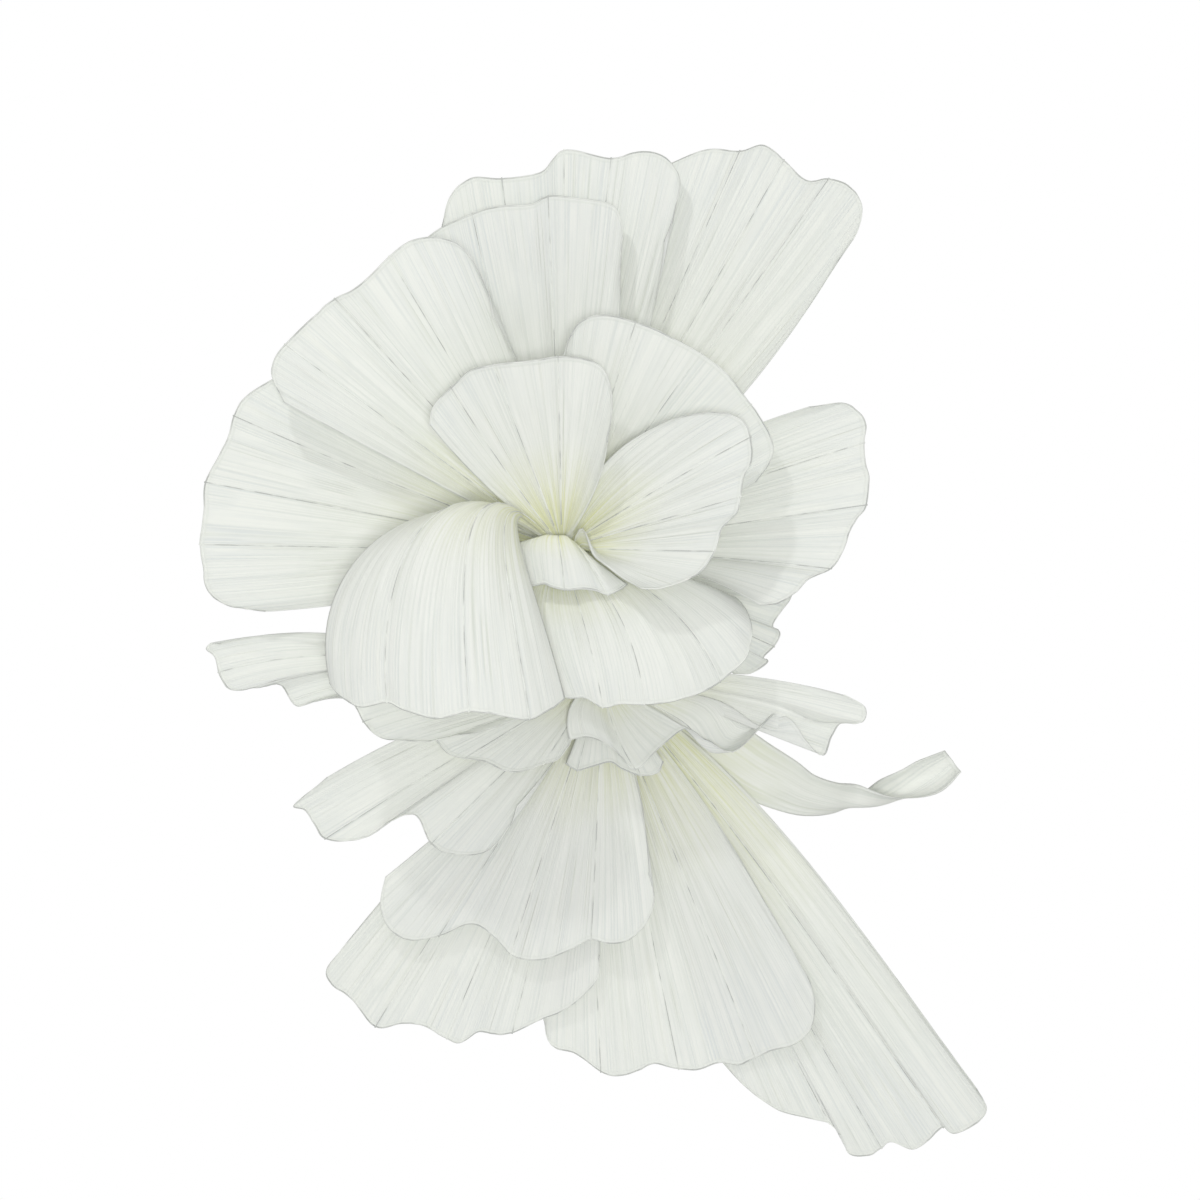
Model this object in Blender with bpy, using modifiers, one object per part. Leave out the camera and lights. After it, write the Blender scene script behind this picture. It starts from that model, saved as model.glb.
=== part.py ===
"""Giant paper flower for a wall: 23 wired paper petals on two steel hubs and a wall plate.

The frame stands with +Z up. The origin is the middle of the wall plate's back face, the wall is the
plane y = 0, and everything stands in front of it, towards -Y. Depth means the distance in front of
the wall. All sizes are metres.
"""

import math
from dataclasses import dataclass

import bmesh
import bpy
from mathutils import Vector

# Paper, wire and the gap that neighbours keep
PAPER = 0.0012
WIRE_RADIUS = 0.0012
GAP = 0.0003
WIRE_GAP = 0.0008
WIRE_START = 0.03

# Closes the seam of turned rings
MERGE_DISTANCE = 0.00001

# Wall plate
PLATE_WIDTH = 0.22
PLATE_HEIGHT = 0.56
PLATE_THICKNESS = 0.004
PLATE_CORNER = 0.02
CORNER_STEPS = 4
SCREW_HOLE = 0.009
HOLE_SIDES = 32
SCREW_INSET = 0.025

# Hubs and the strut between them
HUB_RADIUS = 0.015
HUB_SIDES = 28
HUB_WALL = 0.002
UPPER_HUB_X = -0.035
UPPER_HUB_Z = 0.095
UPPER_HUB_DEPTH = 0.253
LOWER_HUB_X = 0.05
LOWER_HUB_Z = -0.20
LOWER_HUB_DEPTH = 0.155
FLANGE_RADIUS = 0.03
FLANGE_THICKNESS = 0.004
STRUT_RADIUS = 0.006
STRUT_DEPTH = 0.018
STRUT_SIDES = 12
STRUT_GAP = 0.0009

# Tape wound round each hub between the roots of its front petals
TAPE_THICKNESS = 0.0015
TAPE_WIDTH = 0.009
UPPER_TAPE_DEPTH = 0.208
LOWER_TAPE_DEPTH = 0.142


@dataclass(frozen=True)
class Hub:
    """A tube that stands out from the wall and carries petals."""

    name: str
    x: float
    z: float
    depth: float
    tape_depth: float


UPPER = Hub("upper_hub", UPPER_HUB_X, UPPER_HUB_Z, UPPER_HUB_DEPTH, UPPER_TAPE_DEPTH)
LOWER = Hub("lower_hub", LOWER_HUB_X, LOWER_HUB_Z, LOWER_HUB_DEPTH, LOWER_TAPE_DEPTH)


@dataclass(frozen=True)
class Petal:
    """One cut sheet. The rim runs clockwise as seen from the front, as (x, z) points.

    depths are the middle rib's at a third, two thirds and the rim. The pairs are for the first and
    last edge: cup and lift bring the edge and the rim's end forward, sway bows the edge outwards.
    arch and droop move the ribs at one third and two thirds by (x, z), for the first, middle and
    last rib. rows and fineness set the grid. Wires start at first_row, the rim's wire starts at the
    rim point rim_wire_start, and both keep wire_gap off the paper.
    """

    name: str
    hub: Hub
    root_depth: float
    root_angle: float
    rim: tuple
    ribs: tuple
    depths: tuple
    cup: tuple = (0.0, 0.0)
    lift: tuple = (0.0, 0.0)
    sway: tuple = (0.0, 0.0)
    arch: tuple = ((0.0, 0.0), (0.0, 0.0), (0.0, 0.0))
    droop: tuple = ((0.0, 0.0), (0.0, 0.0), (0.0, 0.0))
    ruffle: float = 0.0
    waves: float = 0.0
    wave_shift: float = 0.0
    root_spread: float = 42.0
    rows: int = 6
    fineness: int = 1
    first_row: int = 0
    wire_gap: float = WIRE_GAP
    rim_wire_start: int = 0


PETALS = (
    Petal(
        name="petal_back_right",
        hub=UPPER,
        root_depth=0.050,
        root_angle=55,
        rim=(
            (0.22, 1.01), (0.30, 1.04), (0.38, 1.036), (0.435, 1.05), (0.485, 1.016), (0.535, 0.966),
            (0.59, 0.97), (0.64, 0.95), (0.668, 0.90), (0.655, 0.84), (0.60, 0.76),
        ),
        ribs=(2, 4, 6),
        depths=(0.055, 0.055, 0.075),
        cup=(-0.005, 0.03),
        lift=(-0.005, 0.02),
        sway=(0.0, 0.07),
    ),
    Petal(
        name="petal_back_top",
        hub=UPPER,
        root_depth=0.074,
        root_angle=90,
        rim=(
            (-0.32, 0.85), (-0.30, 0.92), (-0.25, 0.962), (-0.18, 0.962), (-0.09, 0.975), (-0.034, 1.027),
            (0.076, 1.008), (0.144, 1.025), (0.20, 1.012), (0.237, 0.96), (0.23, 0.895), (0.20, 0.81),
        ),
        ribs=(3, 5, 6),
        depths=(0.086, 0.088, 0.108),
        cup=(0.01, 0.02),
        lift=(0.0, 0.015),
        sway=(0.05, 0.05),
    ),
    Petal(
        name="petal_top",
        hub=UPPER,
        root_depth=0.098,
        root_angle=96,
        rim=(
            (-0.36, 0.82), (-0.31, 0.838), (-0.245, 0.866), (-0.19, 0.882), (-0.11, 0.889),
            (-0.07, 0.908), (0.006, 0.903), (0.075, 0.888), (0.10, 0.85), (0.102, 0.79), (0.095, 0.70),
        ),
        ribs=(2, 5),
        depths=(0.122, 0.130, 0.152),
        cup=(0.02, 0.02),
        lift=(0.01, 0.01),
        sway=(0.04, 0.05),
    ),
    Petal(
        name="petal_left",
        hub=UPPER,
        root_depth=0.098,
        root_angle=186,
        rim=(
            (-0.70, -0.052), (-0.78, -0.04), (-0.82, -0.018), (-0.838, 0.012), (-0.842, 0.05),
            (-0.85, 0.10), (-0.842, 0.17), (-0.838, 0.24), (-0.804, 0.308), (-0.785, 0.35),
            (-0.776, 0.39), (-0.75, 0.435), (-0.687, 0.478),
        ),
        ribs=(5, 7, 10),
        depths=(0.135, 0.180, 0.240),
        cup=(0.02, 0.0),
        lift=(0.02, -0.02),
        sway=(0.03, -0.02),
    ),
    Petal(
        name="petal_upper_left",
        hub=UPPER,
        root_depth=0.124,
        root_angle=133,
        rim=(
            (-0.65, 0.412), (-0.678, 0.47), (-0.672, 0.51), (-0.65, 0.543), (-0.58, 0.612),
            (-0.541, 0.646), (-0.49, 0.672), (-0.42, 0.739), (-0.37, 0.775), (-0.308, 0.781),
            (-0.25, 0.755), (-0.205, 0.68), (-0.185, 0.60),
        ),
        ribs=(3, 5, 7),
        depths=(0.185, 0.225, 0.275),
        cup=(0.02, 0.012),
        lift=(0.02, 0.02),
        sway=(0.0, 0.04),
    ),
    Petal(
        name="petal_upper_right",
        hub=UPPER,
        root_depth=0.150,
        root_angle=56,
        rim=(
            (-0.034, 0.52), (-0.02, 0.56), (0.01, 0.60), (0.06, 0.612), (0.13, 0.597), (0.20, 0.568),
            (0.275, 0.527), (0.335, 0.48), (0.388, 0.412), (0.42, 0.365), (0.438, 0.32),
            (0.43, 0.28), (0.40, 0.24),
        ),
        ribs=(4, 6, 8),
        depths=(0.200, 0.225, 0.262),
        cup=(0.01, 0.0),
        lift=(0.0, -0.01),
        sway=(0.015, 0.03),
    ),
    Petal(
        name="petal_right_outer",
        hub=UPPER,
        root_depth=0.098,
        root_angle=8,
        rim=(
            (0.524, 0.415), (0.597, 0.422), (0.636, 0.40), (0.652, 0.37), (0.647, 0.33), (0.65, 0.283),
            (0.658, 0.248), (0.652, 0.19), (0.629, 0.156), (0.615, 0.129), (0.60, 0.089),
            (0.571, 0.046), (0.52, 0.022), (0.49, -0.01), (0.45, -0.033), (0.41, -0.038),
        ),
        ribs=(4, 7, 11),
        first_row=1,
        depths=(0.130, 0.170, 0.230),
        cup=(0.0, 0.05),
        lift=(-0.01, 0.02),
        sway=(0.05, -0.04),
    ),
    Petal(
        name="petal_right_small",
        hub=UPPER,
        root_depth=0.074,
        root_angle=-25,
        rim=(
            (0.50, 0.0), (0.487, -0.03), (0.475, -0.046), (0.452, -0.085), (0.468, -0.105),
            (0.454, -0.133), (0.431, -0.158), (0.438, -0.172), (0.40, -0.195), (0.36, -0.196),
        ),
        ribs=(5,),
        depths=(0.085, 0.105, 0.140),
        ruffle=0.008,
        waves=2.5,
        root_spread=30.0,
    ),
    Petal(
        name="petal_centre_top",
        hub=UPPER,
        root_depth=0.205,
        root_angle=100,
        rim=(
            (-0.325, 0.36), (-0.316, 0.40), (-0.277, 0.441), (-0.236, 0.478), (-0.185, 0.491),
            (-0.10, 0.50), (-0.042, 0.509), (0.019, 0.504), (0.055, 0.485), (0.073, 0.45),
            (0.078, 0.39), (0.07, 0.32),
        ),
        ribs=(2, 4, 6),
        depths=(0.245, 0.280, 0.325),
        cup=(0.01, 0.03),
        lift=(0.0, 0.01),
        sway=(0.02, 0.02),
    ),
    Petal(
        name="petal_right_inner",
        hub=UPPER,
        root_depth=0.205,
        root_angle=6,
        rim=(
            (0.20, 0.365), (0.245, 0.38), (0.295, 0.386), (0.335, 0.38), (0.366, 0.362), (0.378, 0.33),
            (0.381, 0.279), (0.364, 0.245), (0.357, 0.20), (0.349, 0.163), (0.319, 0.131),
            (0.30, 0.08), (0.266, 0.033), (0.223, 0.011), (0.178, -0.004), (0.14, 0.0),
        ),
        ribs=(5, 8, 11),
        depths=(0.250, 0.300, 0.350),
        cup=(0.0, 0.02),
        lift=(-0.02, 0.02),
        sway=(0.065, 0.0),
        root_spread=44.0,
    ),
    Petal(
        name="petal_lower_right",
        hub=UPPER,
        root_depth=0.165,
        root_angle=-58,
        rim=(
            (0.36, -0.02), (0.379, -0.053), (0.387, -0.10), (0.372, -0.156), (0.316, -0.206),
            (0.27, -0.23), (0.205, -0.249), (0.148, -0.256), (0.098, -0.254), (0.056, -0.263),
            (0.02, -0.243), (-0.03, -0.24), (-0.10, -0.20),
        ),
        ribs=(4, 7, 9),
        depths=(0.250, 0.330, 0.300),
        cup=(-0.06, -0.02),
        lift=(-0.10, -0.03),
        sway=(0.02, 0.05),
        arch=((0.0, 0.0), (0.03, 0.06), (-0.045, 0.0)),
        droop=((0.0, 0.0), (0.05, 0.06), (-0.03, 0.0)),
    ),
    Petal(
        name="petal_front_lip",
        hub=UPPER,
        root_depth=0.2475,
        root_angle=96,
        rim=(
            (0.09, -0.012), (0.061, -0.010), (0.028, 0.001), (-0.029, -0.003),
            (-0.059, 0.001), (-0.083, 0.021), (-0.101, 0.03),
        ),
        ribs=(0, 3),
        depths=(0.268, 0.276, 0.280),
        cup=(-0.02, -0.01),
        lift=(-0.02, -0.02),
        arch=((-0.022, 0.050), (-0.015, 0.072), (-0.085, 0.040)),
        droop=((-0.051, 0.007), (0.0, 0.045), (-0.060, 0.045)),
        root_spread=-34.0,
        rows=8,
    ),
    Petal(
        name="petal_front_drooping",
        hub=UPPER,
        root_depth=0.2195,
        root_angle=168,
        rim=(
            (-0.027, -0.24), (-0.058, -0.262), (-0.10, -0.281), (-0.160, -0.271), (-0.228, -0.261),
            (-0.29, -0.276), (-0.36, -0.259), (-0.402, -0.243), (-0.458, -0.254), (-0.50, -0.235),
            (-0.53, -0.205),
        ),
        ribs=(2, 4, 7),
        depths=(0.400, 0.480, 0.430),
        cup=(-0.09, -0.07),
        lift=(-0.08, -0.05),
        arch=((-0.178, 0.283), (-0.12, 0.34), (-0.06, 0.30)),
        droop=((-0.055, 0.147), (-0.10, 0.25), (-0.23, 0.20)),
        root_spread=-30.0,
        rows=9,
        first_row=2,
    ),
    Petal(
        name="petal_lower_right_ruffled",
        hub=LOWER,
        root_depth=0.132,
        root_angle=-18,
        rim=(
            (0.61, -0.241), (0.652, -0.268), (0.646, -0.30), (0.603, -0.303), (0.58, -0.339),
            (0.555, -0.38), (0.52, -0.345), (0.487, -0.291), (0.462, -0.280), (0.43, -0.293),
            (0.353, -0.362), (0.296, -0.344), (0.250, -0.319), (0.190, -0.358), (0.13, -0.407),
            (0.08, -0.366), (0.03, -0.341), (-0.02, -0.345),
        ),
        ribs=(10, 14),
        depths=(0.150, 0.175, 0.195),
        ruffle=0.004,
        waves=3.85,
        wave_shift=0.22,
        fineness=3,
        wire_gap=0.0018,
        rim_wire_start=10,
        sway=(0.03, 0.05),
        root_spread=50.0,
    ),
    Petal(
        name="petal_lower_ruffle",
        hub=LOWER,
        root_depth=0.118,
        root_angle=-68,
        rim=(
            (0.197, -0.40), (0.183, -0.425), (0.145, -0.432), (0.103, -0.418), (0.072, -0.402),
            (0.027, -0.413), (-0.003, -0.420), (-0.03, -0.404),
        ),
        ribs=(2, 6),
        depths=(0.122, 0.134, 0.148),
        ruffle=0.006,
        waves=1.5,
        root_spread=30.0,
    ),
    Petal(
        name="petal_left_ruffled",
        hub=LOWER,
        root_depth=0.132,
        root_angle=184,
        rim=(
            (-0.24, -0.33), (-0.264, -0.352), (-0.30, -0.370), (-0.357, -0.358), (-0.441, -0.340),
            (-0.475, -0.308), (-0.511, -0.256), (-0.56, -0.243), (-0.635, -0.267), (-0.66, -0.248),
            (-0.68, -0.218), (-0.74, -0.229), (-0.79, -0.225), (-0.807, -0.193), (-0.823, -0.159),
            (-0.838, -0.132), (-0.783, -0.121),
        ),
        ribs=(2, 5, 13),
        depths=(0.160, 0.190, 0.215),
        lift=(0.0, 0.02),
        ruffle=0.010,
        waves=3.0,
        fineness=3,
        wire_gap=0.0018,
        sway=(0.02, 0.05),
        root_spread=30.0,
    ),
    Petal(
        name="petal_lower_left_middle",
        hub=LOWER,
        root_depth=0.118,
        root_angle=226,
        rim=(
            (-0.02, -0.36), (-0.046, -0.393), (-0.08, -0.403), (-0.128, -0.420), (-0.169, -0.418),
            (-0.215, -0.397), (-0.263, -0.390), (-0.30, -0.377), (-0.33, -0.345),
        ),
        ribs=(2, 6),
        depths=(0.128, 0.148, 0.168),
        lift=(-0.01, 0.0),
        root_spread=30.0,
    ),
    Petal(
        name="petal_lower_left",
        hub=LOWER,
        root_depth=0.102,
        root_angle=222,
        rim=(
            (-0.14, -0.50), (-0.159, -0.553), (-0.193, -0.595), (-0.235, -0.613), (-0.294, -0.611),
            (-0.340, -0.588), (-0.368, -0.530), (-0.393, -0.521), (-0.435, -0.540), (-0.474, -0.567),
            (-0.524, -0.581), (-0.584, -0.576), (-0.61, -0.54), (-0.630, -0.51), (-0.655, -0.495),
            (-0.58, -0.433),
        ),
        ribs=(5, 11),
        depths=(0.112, 0.130, 0.155),
        cup=(0.0, 0.01),
        lift=(0.0, 0.01),
        sway=(0.02, 0.04),
        root_spread=30.0,
    ),
    Petal(
        name="petal_lower_centre",
        hub=LOWER,
        root_depth=0.086,
        root_angle=266,
        rim=(
            (0.165, -0.66), (0.178, -0.72), (0.16, -0.775), (0.124, -0.813), (0.078, -0.827),
            (0.029, -0.817), (-0.017, -0.838), (-0.066, -0.859), (-0.119, -0.864), (-0.158, -0.850),
            (-0.20, -0.808), (-0.25, -0.780), (-0.325, -0.808), (-0.395, -0.817), (-0.440, -0.79),
            (-0.462, -0.735), (-0.450, -0.67),
        ),
        ribs=(5, 9, 12),
        depths=(0.092, 0.100, 0.122),
        cup=(0.0, -0.01),
        sway=(0.03, -0.02),
    ),
    Petal(
        name="petal_bottom_left",
        hub=LOWER,
        root_depth=0.070,
        root_angle=250,
        rim=(
            (0.05, -0.86), (0.046, -0.91), (0.02, -0.945), (-0.03, -0.986), (-0.095, -1.014),
            (-0.156, -1.042), (-0.20, -1.045), (-0.235, -1.04), (-0.277, -1.065), (-0.31, -1.056),
            (-0.364, -1.026), (-0.413, -1.019), (-0.478, -1.028), (-0.532, -0.963), (-0.580, -0.928),
            (-0.592, -0.89), (-0.548, -0.832),
        ),
        ribs=(5, 9, 12),
        depths=(0.072, 0.078, 0.095),
        sway=(0.0, 0.02),
    ),
    Petal(
        name="petal_bottom_centre",
        hub=LOWER,
        root_depth=0.050,
        root_angle=283,
        rim=(
            (0.50, -0.85), (0.545, -0.925), (0.558, -0.98), (0.549, -1.034), (0.515, -1.07),
            (0.462, -1.088), (0.417, -1.107), (0.379, -1.123), (0.332, -1.117), (0.285, -1.134),
            (0.236, -1.134), (0.177, -1.121), (0.139, -1.137), (0.095, -1.149), (0.052, -1.14),
            (-0.006, -1.097), (-0.056, -1.083), (-0.077, -1.055), (-0.082, -1.01),
        ),
        ribs=(6, 10, 14),
        depths=(0.050, 0.056, 0.075),
        cup=(0.012, 0.0),
        sway=(0.035, 0.05),
    ),
    Petal(
        name="petal_bottom_right",
        hub=LOWER,
        root_depth=0.034,
        root_angle=305,
        rim=(
            (0.93, -1.16), (0.955, -1.21), (0.935, -1.25), (0.885, -1.28), (0.860, -1.268),
            (0.828, -1.300), (0.79, -1.325), (0.741, -1.310), (0.718, -1.325), (0.685, -1.342),
            (0.64, -1.338), (0.615, -1.295), (0.595, -1.268), (0.541, -1.254), (0.479, -1.238),
            (0.425, -1.205), (0.376, -1.162), (0.33, -1.11),
        ),
        ribs=(4, 8, 12),
        depths=(0.032, 0.036, 0.060),
        cup=(0.02, 0.0),
        lift=(0.07, 0.0),
        sway=(0.035, 0.02),
    ),
)

# The curling petal is a band with a half twist, given by its middle line (x, z, depth)
CURL_NAME = "petal_right_curling"
CURL_LINE = (
    (0.0638, -0.2067, 0.022), (0.24, -0.315, 0.024), (0.42, -0.432, 0.032), (0.57, -0.484, 0.062),
    (0.70, -0.480, 0.105), (0.79, -0.455, 0.130), (0.862, -0.425, 0.142),
)
CURL_HALF_WIDTHS = (0.012, 0.045, 0.062, 0.042, 0.026, 0.032, 0.060)
CURL_TURNS = (90, 90, 90, 112, 165, 225, 262)
CURL_CELLS = (24, 6)
CURL_STEP = 0.02


@dataclass(frozen=True)
class Finish:
    """Plain finish of one colour."""

    name: str
    colour: tuple
    roughness: float
    metallic: float = 0.0


PAPER_FINISH = Finish("paper", (0.83, 0.85, 0.79), 0.8)
WIRE_FINISH = Finish("wire", (0.22, 0.24, 0.22), 0.5, 0.6)
STEEL_FINISH = Finish("steel", (0.72, 0.73, 0.74), 0.35, 1.0)
TAPE_FINISH = Finish("tape", (0.52, 0.60, 0.40), 0.7)


def spline(points, share):
    """Point at a share of the way along the smooth curve through some equally spaced points."""
    last = len(points) - 1
    place = min(max(share, 0.0), 1.0) * last
    index = min(int(place), last - 1)
    t = place - index
    here = points[index]
    following = points[index + 1]
    before = points[index - 1] if index > 0 else here * 2 - following
    after = points[index + 2] if index + 2 <= last else following * 2 - here
    return (
        here * 2
        + (following - before) * t
        + (before * 2 - here * 5 + following * 4 - after) * t * t
        + (here * 3 - before - following * 3 + after) * t * t * t
    ) / 2


def parabola(first, middle, last, share):
    """Value at a share of the way along the parabola through three values."""
    return (
        first * (1 - share) * (1 - 2 * share)
        + middle * 4 * share * (1 - share)
        + last * share * (2 * share - 1)
    )


def edge_weight(pair, across):
    """How much of the first or last edge's value a place across the sheet takes."""
    side = 2 * across - 1
    return side * side * (pair[0] if side < 0 else pair[1])


def place(x, z, depth):
    """World point at a distance in front of the wall."""
    return Vector((x, -depth, z))


def petal_point(petal, across, along):
    """Middle surface of a petal: a Bezier rib from its root on the hub to its place on the rim."""
    angle = math.radians(petal.root_angle + petal.root_spread * (1 - 2 * across))
    reach = HUB_RADIUS + GAP + PAPER / 2
    root = place(
        petal.hub.x + reach * math.cos(angle),
        petal.hub.z + reach * math.sin(angle),
        petal.root_depth,
    )
    rise_depth, fall_depth, rim_depth = petal.depths
    rim = spline([Vector(point) for point in petal.rim], across)
    ruffle = petal.ruffle * math.sin(2 * math.pi * (petal.waves * across - petal.wave_shift))
    tip = place(rim.x, rim.y, rim_depth + edge_weight(petal.lift, across) + ruffle)
    outwards = Vector((root.z - tip.z, 0, tip.x - root.x)).normalized()
    bow = outwards * edge_weight(petal.sway, across) * (1 if across < 0.5 else -1)
    cup = Vector((0, -edge_weight(petal.cup, across), 0))
    rise = root.lerp(tip, 1 / 3) + bow + shift(petal.arch, across)
    fall = root.lerp(tip, 2 / 3) + bow + shift(petal.droop, across)
    rise.y = -rise_depth
    fall.y = -fall_depth
    rise += cup
    fall += cup
    left = 1 - along
    return (
        root * left**3
        + rise * 3 * left * left * along
        + fall * 3 * left * along * along
        + tip * along**3
    )


def shift(row, across):
    """Sideways and upwards move of a rib, from the moves of the first, middle and last rib."""
    return Vector((
        parabola(row[0][0], row[1][0], row[2][0], across),
        0,
        parabola(row[0][1], row[1][1], row[2][1], across),
    ))


def curl_point(across, along):
    """Middle surface of the curling petal: a straight line across that turns about the band."""
    middle = spline([place(*point) for point in CURL_LINE], across)
    ahead = spline([place(*point) for point in CURL_LINE], across + CURL_STEP)
    behind = spline([place(*point) for point in CURL_LINE], across - CURL_STEP)
    half_width = spline([Vector((width, 0)) for width in CURL_HALF_WIDTHS], across).x
    turn = math.radians(spline([Vector((turn, 0)) for turn in CURL_TURNS], across).x)
    forward = (ahead - behind).normalized()
    front = Vector((0, -1, 0))
    front = (front - forward * front.dot(forward)).normalized()
    side = forward.cross(front)
    return middle + (front * math.cos(turn) + side * math.sin(turn)) * half_width * (2 * along - 1)


def new_material(finish):
    """Material of a finish."""
    material = bpy.data.materials.new(finish.name)
    material.use_nodes = True
    shader = material.node_tree.nodes["Principled BSDF"]
    shader.inputs["Base Color"].default_value = (*finish.colour, 1)
    shader.inputs["Roughness"].default_value = finish.roughness
    shader.inputs["Metallic"].default_value = finish.metallic
    return material


def add_object(name, mesh, material, collection):
    """New object that holds a mesh, in the part's collection."""
    mesh.materials.append(material)
    new = bpy.data.objects.new(name, mesh)
    collection.objects.link(new)
    return new


def surface_mesh(name, point_at, columns, rows):
    """Grid of cells bent onto a surface, which is a function of the share across and along."""
    grid = bmesh.new()
    bmesh.ops.create_grid(grid, x_segments=columns, y_segments=rows, size=0.5)
    for vertex in grid.verts:
        vertex.co = point_at(vertex.co.x + 0.5, vertex.co.y + 0.5)
    mesh = bpy.data.meshes.new(name)
    grid.to_mesh(mesh)
    grid.free()
    mesh.shade_smooth()
    return mesh


def add_sheet(name, point_at, columns, rows, material, collection):
    """Sheet of paper: the surface with its thickness."""
    sheet = add_object(name, surface_mesh(name, point_at, columns, rows), material, collection)
    solidify = sheet.modifiers.new("paper", "SOLIDIFY")
    solidify.thickness = PAPER
    solidify.offset = 0
    return sheet


def sheet_corners(point_at, columns, rows):
    """Places and front directions of a sheet's grid corners, by (column, row)."""
    face = surface_mesh("face", point_at, columns, rows)
    corners = {}
    for vertex in face.vertices:
        corner = (vertex.index % (columns + 1), vertex.index // (columns + 1))
        corners[corner] = (vertex.co.copy(), vertex.normal.copy())
    bpy.data.meshes.remove(face)
    return corners


def wire_places(point_at, cells, ribs, wire_gap):
    """Corners of the wire frame as a flat web on the sheet's front face, by web column and row.

    A rib is a strip between two web columns and the rim wire is the strip between the last two
    web rows. The other web columns stand at the sheet's own columns.
    """
    columns, rows = cells
    lift = PAPER / 2 + wire_gap + WIRE_RADIUS
    corners = sheet_corners(point_at, columns, rows)
    web = []
    for column in range(columns + 1):
        centre = [corners[column, row][0] + corners[column, row][1] * lift for row in range(rows + 1)]
        onwards = [
            (centre[min(row + 1, rows)] - centre[max(row - 1, 0)]).normalized() for row in range(rows + 1)
        ]
        centre[0] = centre[0] + (centre[1] - centre[0]).normalized() * WIRE_START
        sides = (-1, 1) if column in ribs else (0,)
        for side in sides:
            line = []
            for row in range(rows + 1):
                beside = onwards[row].cross(corners[column, row][1]).normalized()
                line.append(centre[row] + beside * side * WIRE_RADIUS)
            inwards = (line[-2] - line[-1]).normalized()
            line.insert(-1, line[-1] + inwards * 2 * WIRE_RADIUS)
            web.append(line)
    return web


def add_wires(petal, point_at, cells, ribs, material, collection):
    """Wire frame on a sheet's front face: square ribs that end on a rim wire, as one piece."""
    rows = cells[1]
    web = wire_places(point_at, cells, ribs, petal.wire_gap)
    rib_strips = {rib + order for order, rib in enumerate(ribs)}
    frame = bmesh.new()
    bmesh.ops.create_grid(frame, x_segments=len(web) - 1, y_segments=rows + 1, size=0.5)
    rim_start = petal.rim_wire_start * petal.fineness
    rim_start += sum(1 for rib in ribs if rib < rim_start)
    places = {}
    for face in frame.faces:
        middle = face.calc_center_median()
        places[face] = (
            int((middle.x + 0.5) * (len(web) - 1)),
            int((middle.y + 0.5) * (rows + 1)),
        )
    for vertex in frame.verts:
        column = round((vertex.co.x + 0.5) * (len(web) - 1))
        row = round((vertex.co.y + 0.5) * (rows + 1))
        vertex.co = web[column][row]
    open_cells = []
    for face, (strip, row) in places.items():
        on_rib = strip in rib_strips and row >= petal.first_row
        on_rim = row == rows and strip >= rim_start
        if not on_rim and not on_rib:
            open_cells.append(face)
    bmesh.ops.delete(frame, geom=open_cells, context="FACES")
    name = petal.name.replace("petal", "wires")
    mesh = bpy.data.meshes.new(name)
    frame.to_mesh(mesh)
    frame.free()
    wires = add_object(name, mesh, material, collection)
    solidify = wires.modifiers.new("wire", "SOLIDIFY")
    solidify.thickness = 2 * WIRE_RADIUS
    solidify.offset = 0
    return wires


def bar_mesh(radius, length, sides):
    """Solid round bar along +Z from the origin."""
    bar = bmesh.new()
    bmesh.ops.create_cone(
        bar, cap_ends=True, segments=sides, radius1=radius, radius2=radius, depth=length
    )
    bmesh.ops.translate(bar, vec=(0, 0, length / 2), verts=bar.verts)
    return bar


def add_hub(hub, material, collection):
    """Hub: a tube with a flange at the wall plate and an open front end."""
    start = PLATE_THICKNESS + GAP
    bore = HUB_RADIUS - HUB_WALL
    profile = (
        (bore, start), (bore, hub.depth), (HUB_RADIUS, hub.depth),
        (HUB_RADIUS, start + FLANGE_THICKNESS), (FLANGE_RADIUS, start + FLANGE_THICKNESS),
        (FLANGE_RADIUS, start), (bore, start),
    )
    return add_turned(hub.name, profile, hub, material, collection)


def add_turned(name, profile, hub, material, collection):
    """Ring turned about a hub's axis from a closed profile of (radius, depth) points."""
    section = bmesh.new()
    knots = [section.verts.new((radius, 0, depth)) for radius, depth in profile[:-1]]
    for first, second in zip(knots, knots[1:] + knots[:1]):
        section.edges.new((first, second))
    mesh = bpy.data.meshes.new(name)
    section.to_mesh(mesh)
    section.free()
    ring = add_object(name, mesh, material, collection)
    ring.location = (hub.x, 0, hub.z)
    ring.rotation_euler = (math.radians(90), 0, 0)
    screw = ring.modifiers.new("turn", "SCREW")
    screw.axis = "Z"
    screw.steps = HUB_SIDES
    screw.render_steps = HUB_SIDES
    screw.use_merge_vertices = True
    screw.merge_threshold = MERGE_DISTANCE
    return ring


def add_tape(name, hub, material, collection):
    """Tape wound round a hub as one ring."""
    inner = HUB_RADIUS + GAP
    outer = inner + TAPE_THICKNESS
    start = hub.tape_depth
    end = start + TAPE_WIDTH
    profile = ((inner, start), (inner, end), (outer, end), (outer, start), (inner, start))
    return add_turned(name, profile, hub, material, collection)


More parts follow.
